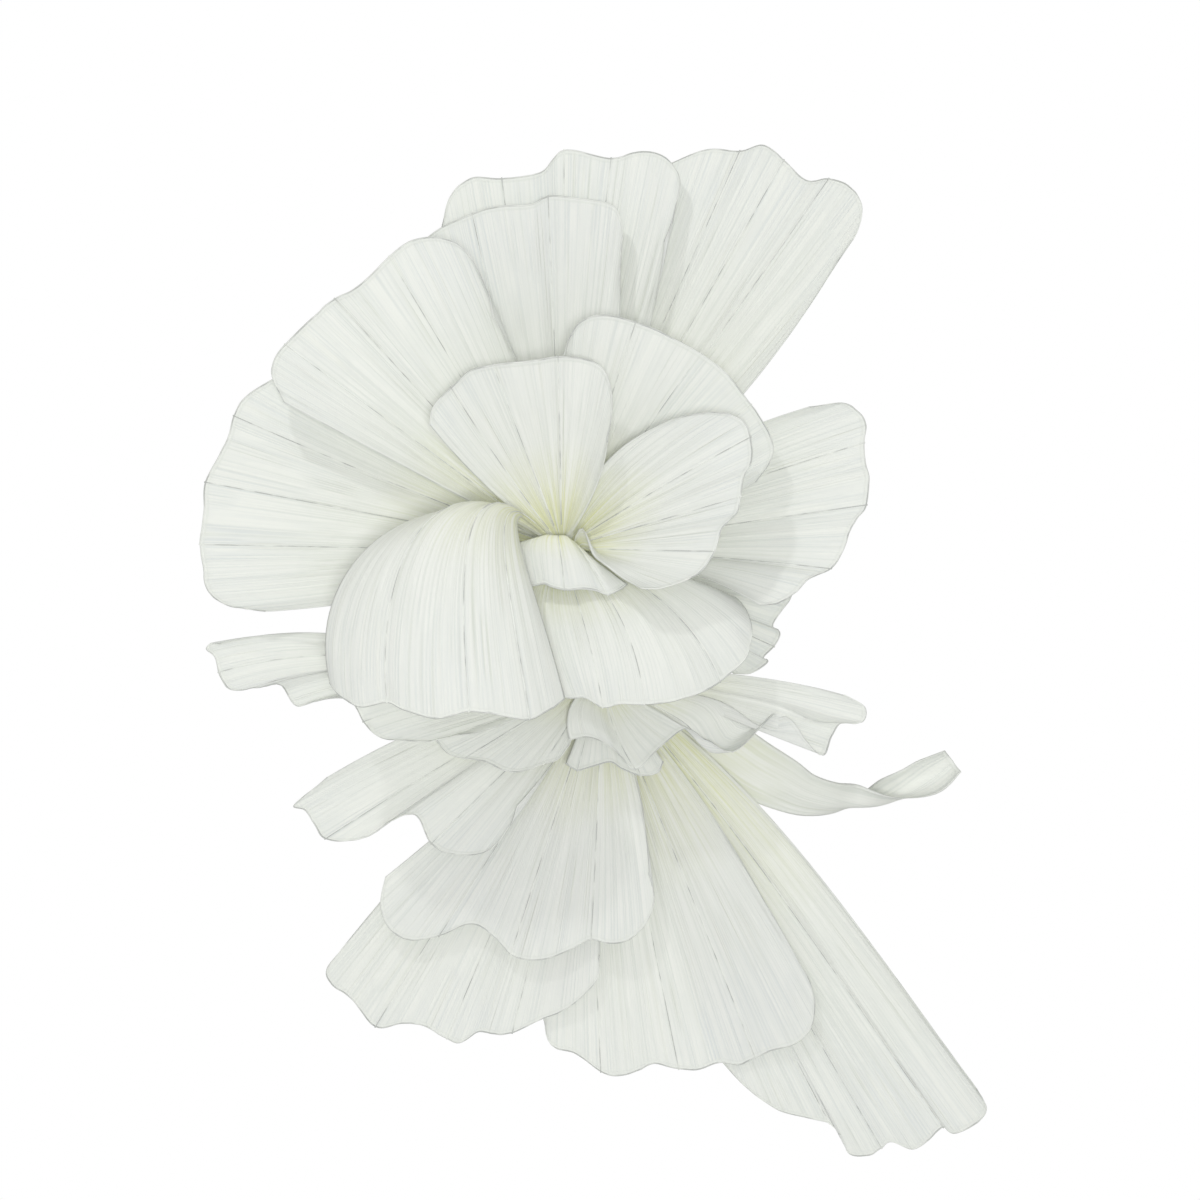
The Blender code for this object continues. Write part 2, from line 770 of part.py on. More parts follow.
def add_plate(material, collection, cutters):
    """Wall plate with rounded corners and four screw holes."""
    outline = bmesh.new()
    bmesh.ops.create_cube(outline, size=1)
    bmesh.ops.scale(outline, vec=(PLATE_WIDTH, PLATE_THICKNESS, PLATE_HEIGHT), verts=outline.verts)
    corners = [edge for edge in outline.edges if edge.verts[0].co.y * edge.verts[1].co.y < 0]
    bmesh.ops.bevel(
        outline, geom=corners, offset=PLATE_CORNER, segments=CORNER_STEPS, affect="EDGES", profile=0.5
    )
    bmesh.ops.translate(outline, vec=(0, -PLATE_THICKNESS / 2, 0), verts=outline.verts)
    mesh = bpy.data.meshes.new("wall_plate")
    outline.to_mesh(mesh)
    outline.free()
    plate = add_object("wall_plate", mesh, material, collection)
    drill_length = PLATE_THICKNESS * 3
    for name, x, z in screw_places():
        drill = bar_mesh(SCREW_HOLE / 2, drill_length, HOLE_SIDES)
        hole_mesh = bpy.data.meshes.new(name)
        drill.to_mesh(hole_mesh)
        drill.free()
        hole = add_object(name, hole_mesh, material, cutters)
        hole.location = (x, PLATE_THICKNESS, z)
        hole.rotation_euler = (math.radians(90), 0, 0)
        hole.hide_render = True
        hole.display_type = "WIRE"
        cut = plate.modifiers.new(name, "BOOLEAN")
        cut.operation = "DIFFERENCE"
        cut.object = hole
    return plate


def screw_places():
    """Names and middles of the wall plate's screw holes."""
    across = PLATE_WIDTH / 2 - SCREW_INSET
    up = PLATE_HEIGHT / 2 - SCREW_INSET
    return (
        ("hole_top_left", -across, up),
        ("hole_top_right", across, up),
        ("hole_bottom_left", -across, -up),
        ("hole_bottom_right", across, -up),
    )


def add_strut(material, collection):
    """Round bar that ties the two hubs together in front of the wall plate."""
    upper = place(UPPER.x, UPPER.z, STRUT_DEPTH)
    lower = place(LOWER.x, LOWER.z, STRUT_DEPTH)
    run = lower - upper
    clear = HUB_RADIUS + STRUT_GAP
    bar = bar_mesh(STRUT_RADIUS, run.length - 2 * clear, STRUT_SIDES)
    mesh = bpy.data.meshes.new("hub_strut")
    bar.to_mesh(mesh)
    bar.free()
    mesh.shade_smooth()
    strut = add_object("hub_strut", mesh, material, collection)
    strut.location = upper + run.normalized() * clear
    strut.rotation_euler = run.to_track_quat("Z", "Y").to_euler()
    return strut


def main():
    """Clears the scene and builds the flower."""
    for old in list(bpy.data.objects):
        bpy.data.objects.remove(old)
    flower = bpy.data.collections.new("paper_flower")
    cutters = bpy.data.collections.new("cutters")
    bpy.context.scene.collection.children.link(flower)
    bpy.context.scene.collection.children.link(cutters)
    paper = new_material(PAPER_FINISH)
    wire = new_material(WIRE_FINISH)
    steel = new_material(STEEL_FINISH)
    tape = new_material(TAPE_FINISH)

    add_plate(steel, flower, cutters)
    add_strut(steel, flower)
    for hub in (UPPER, LOWER):
        add_hub(hub, steel, flower)
        add_tape(hub.name + "_tape", hub, tape, flower)

    for petal in PETALS:
        columns = (len(petal.rim) - 1) * petal.fineness
        ribs = tuple(rib * petal.fineness for rib in petal.ribs)

        def point_at(across, along, petal=petal):
            return petal_point(petal, across, along)

        add_sheet(petal.name, point_at, columns, petal.rows, paper, flower)
        add_wires(petal, point_at, (columns, petal.rows), ribs, wire, flower)

    add_sheet(CURL_NAME, curl_point, *CURL_CELLS, paper, flower)


main()
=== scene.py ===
"""Looks of the giant paper flower: wired paper petals, wound tape and galvanised steel.

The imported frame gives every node's place. +Z is up, the wall is the plane y = 0 and the flower
stands in front of it, towards -Y. Depth means the distance in front of the wall. All sizes are
metres. Each petal is made again, finer than its solid, from the same cut sizes.
"""

import logging
import math
from dataclasses import dataclass, field
from enum import Enum

import bpy
import numpy as np
from mathutils import Matrix, Vector


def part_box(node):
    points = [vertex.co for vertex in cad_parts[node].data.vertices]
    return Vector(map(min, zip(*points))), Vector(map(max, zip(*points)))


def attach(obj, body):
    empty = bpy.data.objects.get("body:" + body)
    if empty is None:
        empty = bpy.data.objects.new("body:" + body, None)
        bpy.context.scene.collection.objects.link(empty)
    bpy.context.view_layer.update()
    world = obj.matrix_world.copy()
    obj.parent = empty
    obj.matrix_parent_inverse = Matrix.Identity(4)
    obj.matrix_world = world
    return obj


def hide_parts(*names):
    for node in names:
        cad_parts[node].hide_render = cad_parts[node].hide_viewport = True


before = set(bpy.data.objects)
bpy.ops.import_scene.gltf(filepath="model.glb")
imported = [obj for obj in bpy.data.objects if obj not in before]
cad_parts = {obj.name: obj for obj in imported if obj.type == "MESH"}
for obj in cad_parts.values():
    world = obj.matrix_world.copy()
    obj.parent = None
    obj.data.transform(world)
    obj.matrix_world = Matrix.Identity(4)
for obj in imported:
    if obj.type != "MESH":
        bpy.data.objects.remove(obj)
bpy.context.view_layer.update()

log = logging.getLogger("paper_flower")

BODY = "root"

Pair = tuple[float, float]
Colour = tuple[float, float, float]

# A hub's radius and how far from its middle line the petals' roots lie, as in the solids
HUB_RADIUS = 0.015
ROOT_REACH = 0.0159

# The paper's map, in metres along the rim and back from it, and what each mesh point stores
WEAVE_MAP = "weave"
ROOT_SHARE = "root_share"
EDGE_DISTANCE = "edge_distance"
BEAD = "bead"


class Slot(Enum):
    """Material slots of the flower's pieces."""

    PAPER = "paper"
    WIRE = "wire"
    STEEL = "steel"
    TAPE = "tape"


class Lobe(Enum):
    """How far the free rim of a sheet flutters, in metres."""

    CALM = 0.0022
    WAVY = 0.0040
    RUFFLED = 0.0055


class Field:
    """A shader value. Arithmetic on it adds Math nodes to its tree."""

    def __init__(self, tree: "ShaderTree", socket: bpy.types.NodeSocket) -> None:
        """Wraps an output socket.

        Args:
            tree: The tree that the socket belongs to.
            socket: The output socket.
        """
        self.tree = tree
        self.socket = socket

    def _math(self, operation: str, first: "Field | float", second: "Field | float") -> "Field":
        """One Math node.

        Args:
            operation: The node's operation.
            first: First value.
            second: Second value.

        Returns:
            The result.
        """
        return self.tree.node("ShaderNodeMath", {"operation": operation}, {0: first, 1: second})

    def __add__(self, other: "Field | float") -> "Field":
        """Sum."""
        return self._math("ADD", self, other)

    def __radd__(self, other: float) -> "Field":
        """Sum, from the right."""
        return self._math("ADD", other, self)

    def __sub__(self, other: "Field | float") -> "Field":
        """Difference."""
        return self._math("SUBTRACT", self, other)

    def __rsub__(self, other: float) -> "Field":
        """Difference, from the right."""
        return self._math("SUBTRACT", other, self)

    def __mul__(self, other: "Field | float") -> "Field":
        """Product."""
        return self._math("MULTIPLY", self, other)

    def __rmul__(self, other: float) -> "Field":
        """Product, from the right."""
        return self._math("MULTIPLY", other, self)

    def __abs__(self) -> "Field":
        """Size without its sign."""
        return self._math("ABSOLUTE", self, 0.0)

    def either(self, other: "Field") -> "Field":
        """The larger of two values."""
        return self._math("MAXIMUM", self, other)


class ShaderTree:
    """The node tree of a material or a world, written as expressions."""

    def __init__(self, owner: bpy.types.Material | bpy.types.World) -> None:
        """Empties the owner's tree.

        Args:
            owner: The material or world.
        """
        owner.use_nodes = True
        self.owner = owner
        self.nodes = owner.node_tree.nodes
        self.links = owner.node_tree.links
        self.nodes.clear()

    def _make(self, kind: str, settings: dict, inputs: dict) -> bpy.types.Node:
        """Makes one node.

        Args:
            kind: The node's type.
            settings: Values set on the node first, such as its operation. "stops" holds a ramp's
                (position, grey) stops.
            inputs: Value or link of each input, by the socket's name or number.

        Returns:
            The node.
        """
        node = self.nodes.new(kind)
        for key, value in settings.items():
            if key == "stops":
                self._set_stops(node, value)
            else:
                setattr(node, key, value)
        for key, value in inputs.items():
            if isinstance(value, Field):
                self.links.new(value.socket, node.inputs[key])
            else:
                node.inputs[key].default_value = value
        return node

    def node(self, kind: str, settings: dict | None = None, inputs: dict | None = None,
             output: int | str = 0) -> Field:
        """Adds one node and gives one of its outputs, by name or number, as a field."""
        return Field(self, self._make(kind, settings or {}, inputs or {}).outputs[output])

    @staticmethod
    def _set_stops(node: bpy.types.Node, stops: tuple[Pair, ...]) -> None:
        """Gives a ramp its stops.

        Args:
            node: The ramp.
            stops: Position and grey of each stop.
        """
        while len(node.color_ramp.elements) < len(stops):
            node.color_ramp.elements.new(1.0)
        for element, (position, grey) in zip(node.color_ramp.elements, stops):
            element.position = position
            element.color = (grey, grey, grey, 1.0)

    def ramp(self, value: Field, *stops: Pair) -> Field:
        """Value from 0 to 1 that follows straight steps between stops."""
        return self.node("ShaderNodeValToRGB", {"stops": stops}, {0: value})

    def vector(self, x: Field | float, y: Field | float, z: Field | float = 0.0) -> Field:
        """Vector of three values."""
        return self.node("ShaderNodeCombineXYZ", inputs={0: x, 1: y, 2: z})

    def noise(self, vector: Field, scale: float, detail: float = 2.0, roughness: float = 0.5) -> Field:
        """Smooth noise about 0.5.

        Args:
            vector: Where to read it.
            scale: Its scale.
            detail: Octaves.
            roughness: Share of the finer octaves.

        Returns:
            The noise.
        """
        inputs = {"Vector": vector, "Scale": scale, "Detail": detail, "Roughness": roughness}
        return self.node("ShaderNodeTexNoise", inputs=inputs)

    def thread(self, noise: Field, width: float) -> Field:
        """Thin lines where a noise passes its middle, 1 on the line and 0 beside it."""
        return self.ramp(abs(noise - 0.5), (0.0, 1.0), (width, 0.0))

    def mix(self, factor: Field | float, first: "Field | Colour", second: "Field | Colour") -> Field:
        """Mix of two colours.

        Args:
            factor: Share of the second colour.
            first: First colour.
            second: Second colour.

        Returns:
            The mixed colour.
        """
        ends = [end if isinstance(end, Field) else (*end, 1.0) for end in (first, second)]
        return self.node("ShaderNodeMix", {"data_type": "RGBA"}, {0: factor, 6: ends[0], 7: ends[1]}, 2)

    def object_place(self) -> Field:
        """Place on the object, in metres."""
        return self.node("ShaderNodeTexCoord", output="Object")

    def attribute(self, name: str) -> Field:
        """A number stored on the mesh."""
        return self.node("ShaderNodeAttribute", {"attribute_name": name}, output="Fac")

    def bump(self, height: Field, distance: float) -> Field:
        """Normal that stands for a relief. distance is in metres, for a height of 1."""
        return self.node("ShaderNodeBump", inputs={"Height": height, "Distance": distance, "Strength": 1.0})

    def finish(self, shader: Field, kind: str = "ShaderNodeOutputMaterial") -> bpy.types.ID:
        """Links the shader to the output.

        Args:
            shader: The surface.
            kind: Type of the output node.

        Returns:
            The finished material or world.
        """
        self._make(kind, {}, {"Surface": shader})
        return self.owner


@dataclass(frozen=True)
class Fibres:
    """Noise drawn out along the paper's fibres. Its scales are for a metre each way.

    layer is where in the noise it is read, which keeps the paper's patterns apart.
    """

    around: float
    inwards: float
    layer: float
    octaves: float = 1.0
    roughness: float = 0.5

    def over(self, tree: ShaderTree, around: Field, inwards: Field) -> Field:
        """The noise over a sheet.

        Args:
            tree: The paper's tree.
            around: Metres along the rim.
            inwards: Metres back from the rim.

        Returns:
            The noise.
        """
        place = tree.vector(around * self.around, inwards * self.inwards, self.layer)
        return tree.noise(place, 1.0, self.octaves, self.roughness)


@dataclass(frozen=True)
class PaperFinish:
    """Thin fibrous paper: off-white, with lengthwise threads, a pale hem and a painted yellow-green shade at
    the root.

    The strengths are shares of each mark's colour at its fullest. Hem and edge sizes are metres.
    """

    lit: Colour = (0.838, 0.858, 0.805)
    cool: Colour = (0.800, 0.828, 0.832)
    # Painted shade: root is a yellow-green that stands for the shade in the throat and the light seen through
    # its stacked layers.
    root: Colour = (0.785, 0.802, 0.380)
    pale_thread: Colour = (0.93, 0.94, 0.91)
    dark_thread: Colour = (0.62, 0.65, 0.55)
    hem: Colour = (0.90, 0.915, 0.895)
    fold: Colour = (0.66, 0.70, 0.62)
    edge_line: Colour = (0.34, 0.36, 0.33)
    glow: Colour = (0.86, 0.88, 0.78)
    glow_share: float = 0.22
    roughness: float = 0.66
    specular: float = 0.28
    grain: Fibres = Fibres(420.0, 3.0, 0.0, 2.0)
    broad: Fibres = Fibres(38.0, 0.9, 7.0, 3.0, 0.6)
    wide_threads: Fibres = Fibres(108.0, 0.8, 17.0)
    slim_threads: Fibres = Fibres(165.0, 1.1, 31.0)
    stretches: Fibres = Fibres(21.0, 4.5, 3.0)
    wide_line: float = 0.15
    slim_line: float = 0.18
    dark_line: float = 0.12
    dark_offset: float = 0.13
    root_shade_fade: tuple[Pair, ...] = ((0.0, 1.0), (0.18, 0.82), (0.34, 0.30), (0.56, 0.0))
    even_cool: float = 0.60
    broad_strength: float = 0.06
    grain_strength: float = 0.10
    dark_strength: float = 0.46
    pale_strength: float = 0.90
    hem_strength: float = 0.60
    edge_strength: float = 0.60
    fold_strength: float = 0.16
    hem_width: float = 0.008
    hem_blur: float = 0.001
    fold_width: float = 0.0018
    edge_width: Pair = (0.0004, 0.0016)
    relief: float = 0.0006

    def material(self) -> bpy.types.Material:
        """Builds the paper.

        Returns:
            The material.
        """
        tree = ShaderTree(bpy.data.materials.new("fibrous_paper"))
        weave = tree.node("ShaderNodeUVMap", {"uv_map": WEAVE_MAP})
        around = tree.node("ShaderNodeSeparateXYZ", inputs={0: weave}, output="X")
        inwards = tree.node("ShaderNodeSeparateXYZ", inputs={0: weave}, output="Y")
        share = tree.attribute(ROOT_SHARE)
        edge = tree.attribute(EDGE_DISTANCE)
        place = tree.object_place()

        grain = self.grain.over(tree, around, inwards)
        broad = self.broad.over(tree, around, inwards)
        wide = self.wide_threads.over(tree, around, inwards)
        slim = self.slim_threads.over(tree, around, inwards)
        stretches = self.stretches.over(tree, around, inwards)
        first_part = tree.ramp(stretches, (0.40, 0.0), (0.56, 1.0))
        second_part = tree.ramp(stretches, (0.38, 1.0), (0.52, 0.0))
        wide_line = tree.thread(wide, self.wide_line) * first_part
        pale_line = wide_line + tree.thread(slim, self.slim_line) * second_part
        dark_line = tree.thread(wide + self.dark_offset, self.dark_line) * second_part
        cloud = tree.ramp(tree.noise(place, 2.6, 3.0), (0.38, 0.0), (0.64, 1.0))
        crinkle = tree.noise(place, 34.0, 3.0, 0.55)

        outer = tree.ramp(share, (0.35, 0.0), (0.90, 1.0))
        colour = tree.mix(outer * (self.even_cool + cloud * (1.0 - self.even_cool)), self.lit, self.cool)
        # Painted shade: yellow-green towards each root, where the throat is shaded and lit through stacked
        # layers.
        colour = tree.mix(tree.ramp(share, *self.root_shade_fade), colour, self.root)
        in_broad = tree.ramp(broad, (0.34, self.broad_strength), (0.52, 0.0))
        colour = tree.mix(in_broad, colour, self.dark_thread)
        in_grain = tree.ramp(grain, (0.32, self.grain_strength), (0.52, 0.0))
        colour = tree.mix(in_grain, colour, self.dark_thread)
        colour = tree.mix(dark_line * self.dark_strength, colour, self.dark_thread)
        colour = tree.mix(pale_line * self.pale_strength, colour, self.pale_thread)
        hem_end = self.hem_width + self.hem_blur
        in_hem = tree.ramp(edge, (self.hem_width, 1.0), (hem_end, 0.0))
        colour = tree.mix(in_hem * self.hem_strength, colour, self.hem)
        broken = tree.ramp(tree.noise(place, 14.0, 2.0), (0.38, 1.0), (0.58, 0.25))
        at_edge = tree.ramp(edge, (self.edge_width[0], 1.0), (self.edge_width[1], 0.0)) * broken
        colour = tree.mix(at_edge * self.edge_strength, colour, self.edge_line)
        at_fold = tree.ramp(abs(edge - hem_end), (0.0, 1.0), (self.fold_width, 0.0))
        colour = tree.mix(at_fold * self.fold_strength, colour, self.fold)

        relief = pale_line * 0.7 - dark_line * 0.6 + crinkle * 0.5 + in_hem
        normal = tree.bump(relief, self.relief)
        face = tree.node("ShaderNodeBsdfPrincipled", inputs={
            "Base Color": colour, "Roughness": self.roughness, "Specular IOR Level": self.specular,
            "Normal": normal,
        })
        light_through = {"Color": (*self.glow, 1.0), "Normal": normal}
        through = tree.node("ShaderNodeBsdfTranslucent", inputs=light_through)
        return tree.finish(tree.node("ShaderNodeMixShader", inputs={0: self.glow_share, 1: face, 2: through}))


@dataclass(frozen=True)
class WireFinish:
    """Thin wire in grey-green covering, with pale paper fibre left on it in stretches.

    patches and windings are its patterns' scales.
    """

    covered: Colour = (0.82, 0.84, 0.79)
    bare: Colour = (0.50, 0.515, 0.49)
    roughness: float = 0.55
    patches: float = 17.0
    windings: float = 420.0
    relief: float = 0.0002

    def material(self) -> bpy.types.Material:
        """Builds the wire's covering.

        Returns:
            The material.
        """
        tree = ShaderTree(bpy.data.materials.new("covered_wire"))
        place = tree.object_place()
        patches = tree.ramp(tree.noise(place, self.patches, 2.0, 0.6), (0.40, 1.0), (0.58, 0.0))
        windings = tree.noise(place, self.windings, 1.0)
        colour = tree.mix(patches, self.covered, self.bare)
        face = tree.node("ShaderNodeBsdfPrincipled", inputs={
            "Base Color": colour, "Roughness": self.roughness, "Normal": tree.bump(windings, self.relief),
        })
        return tree.finish(face)


@dataclass(frozen=True)
class SteelFinish:
    """Galvanised steel: soft grey spangle with fine drawn lines.

    spangle, drawn and blotch are its patterns' scales.
    """

    light: Colour = (0.66, 0.68, 0.69)
    dark: Colour = (0.46, 0.48, 0.50)
    metallic: float = 0.92
    smoothest: float = 0.30
    spangle: float = 70.0
    drawn: float = 260.0
    blotch: float = 11.0
    relief: float = 0.0002

    def material(self) -> bpy.types.Material:
        """Builds the steel.

        Returns:
            The material.
        """
        tree = ShaderTree(bpy.data.materials.new("galvanised_steel"))
        place = tree.object_place()
        grains = {"Vector": place, "Scale": self.spangle}
        spangle = tree.node("ShaderNodeTexVoronoi", {"feature": "F1"}, grains)
        drawn = tree.noise(place, self.drawn, 2.0, 0.7)
        blotch = tree.noise(place, self.blotch, 3.0)
        dullness = tree.ramp(spangle * 0.6 + blotch * 0.5, (0.25, 0.0), (0.75, 1.0))
        face = tree.node("ShaderNodeBsdfPrincipled", inputs={
            "Base Color": tree.mix(dullness, self.light, self.dark), "Metallic": self.metallic,
            "Roughness": self.smoothest + drawn * 0.22,
            "Normal": tree.bump(drawn * 0.6 + spangle * 0.4, self.relief),
        })
        return tree.finish(face)


@dataclass(frozen=True)
class TapeFinish:
    """Crinkled stem tape in pale green. crepe and blotch are its patterns' scales."""

    light: Colour = (0.56, 0.64, 0.43)
    dark: Colour = (0.36, 0.44, 0.25)
    roughness: float = 0.72
    crepe: float = 900.0
    blotch: float = 60.0
    relief: float = 0.0004

    def material(self) -> bpy.types.Material:
        """Builds the tape.

        Returns:
            The material.
        """
        tree = ShaderTree(bpy.data.materials.new("stem_tape"))
        place = tree.object_place()
        crepe = tree.noise(place, self.crepe, 2.0, 0.7)
        blotch = tree.noise(place, self.blotch)
        shade = tree.ramp(crepe * 0.6 + blotch * 0.4, (0.35, 1.0), (0.65, 0.0))
        face = tree.node("ShaderNodeBsdfPrincipled", inputs={
            "Base Color": tree.mix(shade, self.light, self.dark), "Roughness": self.roughness,
            "Normal": tree.bump(crepe, self.relief),
        })
        return tree.finish(face)


class Finishes:
    """Every finish of the flower, built once."""

    def __init__(self) -> None:
        """Builds the four materials."""
        self._materials = {
            Slot.PAPER: PaperFinish().material(),
            Slot.WIRE: WireFinish().material(),
            Slot.STEEL: SteelFinish().material(),
            Slot.TAPE: TapeFinish().material(),
        }

    def of(self, slot: Slot) -> bpy.types.Material:
        """Material of a slot."""
        return self._materials[slot]

    def dress(self, piece: bpy.types.Object, slot: Slot) -> None:
        """Gives a piece the finish of its slot.

        Args:
            piece: The piece.
            slot: Its slot.
        """
        piece.data.materials.clear()
        piece.data.materials.append(self.of(slot))


class Crease:
    """Smooth repeatable noise from -1 to 1 over a sheet."""

    LATTICE = (257, 65)

    def __init__(self, seed: int) -> None:
        """Draws the lattice.

        Args:
            seed: Fixed seed of the sheet.
        """
        self._lattice = np.random.default_rng(seed).uniform(-1.0, 1.0, self.LATTICE)

    def at(self, across: np.ndarray, along: np.ndarray) -> np.ndarray:
        """Noise at some places, which repeat past the lattice.

        Args:
            across: Places across the sheet, one lattice step apart per 1.
            along: Places along the sheet.

        Returns:
            The noise there.
        """
        columns, rows = self.LATTICE
        across, along = np.broadcast_arrays(across % (columns - 1), along % (rows - 1))
        column = across.astype(int)
        row = along.astype(int)
        s = across - column
        t = along - row
        s = s * s * (3.0 - 2.0 * s)
        t = t * t * (3.0 - 2.0 * t)
        near = self._lattice[column, row] * (1.0 - s) + self._lattice[column + 1, row] * s
        far = self._lattice[column, row + 1] * (1.0 - s) + self._lattice[column + 1, row + 1] * s
        return near * (1.0 - t) + far * t


def spline(points: np.ndarray, share: np.ndarray) -> np.ndarray:
    """Places along the smooth curve through some equally spaced points.

    Args:
        points: The points, one a row.
        share: Shares of the way along, from 0 to 1.

    Returns:
        The places, one a row.
    """
    last = len(points) - 1
    padded = np.vstack([2 * points[0] - points[1], points, 2 * points[-1] - points[-2]])
    place = np.clip(share, 0.0, 1.0) * last
    index = np.minimum(place.astype(int), last - 1)
    t = (place - index)[:, None]
    before, here, following, after = (padded[index + step] for step in range(4))
    return 0.5 * (
        2 * here
        + (following - before) * t
        + (2 * before - 5 * here + 4 * following - after) * t**2
        + (3 * here - before - 3 * following + after) * t**3
    )


def parabola(values: tuple[float, float, float], share: np.ndarray) -> np.ndarray:
    """Parabola through the values at the first, middle and last place.

    Args:
        values: The three values.
        share: Shares of the way from the first place to the last.

    Returns:
        The value at each share.
    """
    first, middle, last = values
    return (
        first * (1 - share) * (1 - 2 * share)
        + middle * 4 * share * (1 - share)
        + last * share * (2 * share - 1)
    )


def edge_weight(pair: Pair, across: np.ndarray) -> np.ndarray:
    """How much of the first or last edge's value each place across the sheet takes."""
    side = 2 * across - 1
    return side**2 * np.where(side < 0, pair[0], pair[1])


def unit(vectors: np.ndarray) -> np.ndarray:
    """Vectors of length 1 in the same directions."""
    return vectors / np.maximum(np.linalg.norm(vectors, axis=-1, keepdims=True), 1e-9)


def smooth(value: np.ndarray, low: float, high: float) -> np.ndarray:
    """Smooth step from 0 at low to 1 at high."""
    t = np.clip((value - low) / (high - low), 0.0, 1.0)
    return t * t * (3 - 2 * t)


@dataclass(frozen=True)
class Hub:
    """A tube that stands out from the wall and carries petals."""

    name: str
    x: float
    z: float


UPPER = Hub("upper_hub", -0.035, 0.095)
LOWER = Hub("lower_hub", 0.05, -0.20)


@dataclass(frozen=True)
class Push:
    """A place where a hand bent the paper. Widths are shares of the sheet, move is (x, y, z)."""

    across: float
    along: float
    width: float
    length: float
    move: tuple[float, float, float]

    def at(self, across: np.ndarray, along: np.ndarray) -> np.ndarray:
        """Move of every place of a sheet.

        Args:
            across: Shares across.
            along: Shares along.

        Returns:
            The moves.
        """
        beside = np.exp(-((across - self.across) / self.width)**2)[:, None, None]
        beyond = np.exp(-((along - self.along) / self.length)**2) * smooth(along, 0.0, 0.10)
        return beside * beyond[None, :, None] * np.array(self.move)


@dataclass(frozen=True)
class PetalShape:
    """Cut and set of one petal. The rim runs clockwise from the front, as (x, z) points.

    The root is bound to the hub at root_depth, round root_angle with root_spread to each side, in
    degrees. ribs are the rim points at which wires end. depths are the middle rib's at a third, two
    thirds and the rim. The pairs are for the first and last edge: cup and lift bring the edge and
    the rim's end forward, sway bows the edge outwards. arch and droop move the ribs at one third
    and two thirds by (x, z), for the first, middle and last rib. ruffle and waves are the height and
    number of even waves of the rim, and waver brings it forward at equal steps along it. puff is how
    far the paper stands forward between two wires, pushes are dents and folds made by hand, and
    creasing scales the fine creases.
    """

    name: str
    hub: Hub
    root_depth: float
    root_angle: float
    rim: tuple[Pair, ...]
    ribs: tuple[int, ...]
    depths: tuple[float, float, float]
    cup: Pair = (0.0, 0.0)
    lift: Pair = (0.0, 0.0)
    sway: Pair = (0.0, 0.0)
    arch: tuple[Pair, Pair, Pair] = ((0.0, 0.0), (0.0, 0.0), (0.0, 0.0))
    droop: tuple[Pair, Pair, Pair] = ((0.0, 0.0), (0.0, 0.0), (0.0, 0.0))
    ruffle: float = 0.0
    waves: float = 0.0
    root_spread: float = 42.0
    puff: float = 0.0045
    lobe: Lobe = Lobe.CALM
    waver: tuple[float, ...] = (0.0, 0.0)
    pushes: tuple[Push, ...] = ()
    creasing: float = 1.0

    def surface(self, across: np.ndarray, along: np.ndarray) -> np.ndarray:
        """Middle surface: a Bezier rib from the root on the hub to its place on the rim.

        Args:
            across: Shares of the way along the rim.
            along: Shares of the way from the root to the rim.

        Returns:
            Places, by share across and share along.
        """
        angle = np.radians(self.root_angle + self.root_spread * (1 - 2 * across))
        root = np.stack([
            self.hub.x + ROOT_REACH * np.cos(angle),
            np.full_like(across, -self.root_depth),
            self.hub.z + ROOT_REACH * np.sin(angle),
        ], axis=1)
        rise_depth, fall_depth, rim_depth = self.depths
        rim = spline(np.array(self.rim), across)
        ruffle = self.ruffle * np.sin(2 * np.pi * self.waves * across)
        waver = spline(np.array(self.waver)[:, None], across)[:, 0]
        tip_depth = rim_depth + edge_weight(self.lift, across) + ruffle + waver
        tip = np.stack([rim[:, 0], -tip_depth, rim[:, 1]], axis=1)
        outwards = unit(np.stack([root[:, 2] - tip[:, 2], 0 * across, tip[:, 0] - root[:, 0]], axis=1))
        bow = outwards * (edge_weight(self.sway, across) * np.where(across < 0.5, 1, -1))[:, None]
        cup = edge_weight(self.cup, across)
        rise = root * 2 / 3 + tip / 3 + bow + self._shift(self.arch, across)
        fall = root / 3 + tip * 2 / 3 + bow + self._shift(self.droop, across)
        rise[:, 1] = -rise_depth - cup
        fall[:, 1] = -fall_depth - cup
        v = along[None, :, None]
        plain = (
            root[:, None] * (1 - v)**3
            + rise[:, None] * 3 * (1 - v)**2 * v
            + fall[:, None] * 3 * (1 - v) * v**2
            + tip[:, None] * v**3
        )
        return plain + sum(push.at(across, along) for push in self.pushes)

    @staticmethod
    def _shift(row: tuple[Pair, Pair, Pair], across: np.ndarray) -> np.ndarray:
        """Sideways and upwards move of each rib.

        Args:
            row: Moves (x, z) of the first, middle and last rib.
            across: Shares of the way along the rim.

        Returns:
            The moves.
        """
        first, middle, last = row
        sideways = parabola((first[0], middle[0], last[0]), across)
        upwards = parabola((first[1], middle[1], last[1]), across)
        return np.stack([sideways, 0 * across, upwards], axis=1)

    def rib_shares(self) -> tuple[float, ...]:
        """Shares of the way along the rim where wires run."""
        return tuple(rib / (len(self.rim) - 1) for rib in self.ribs)


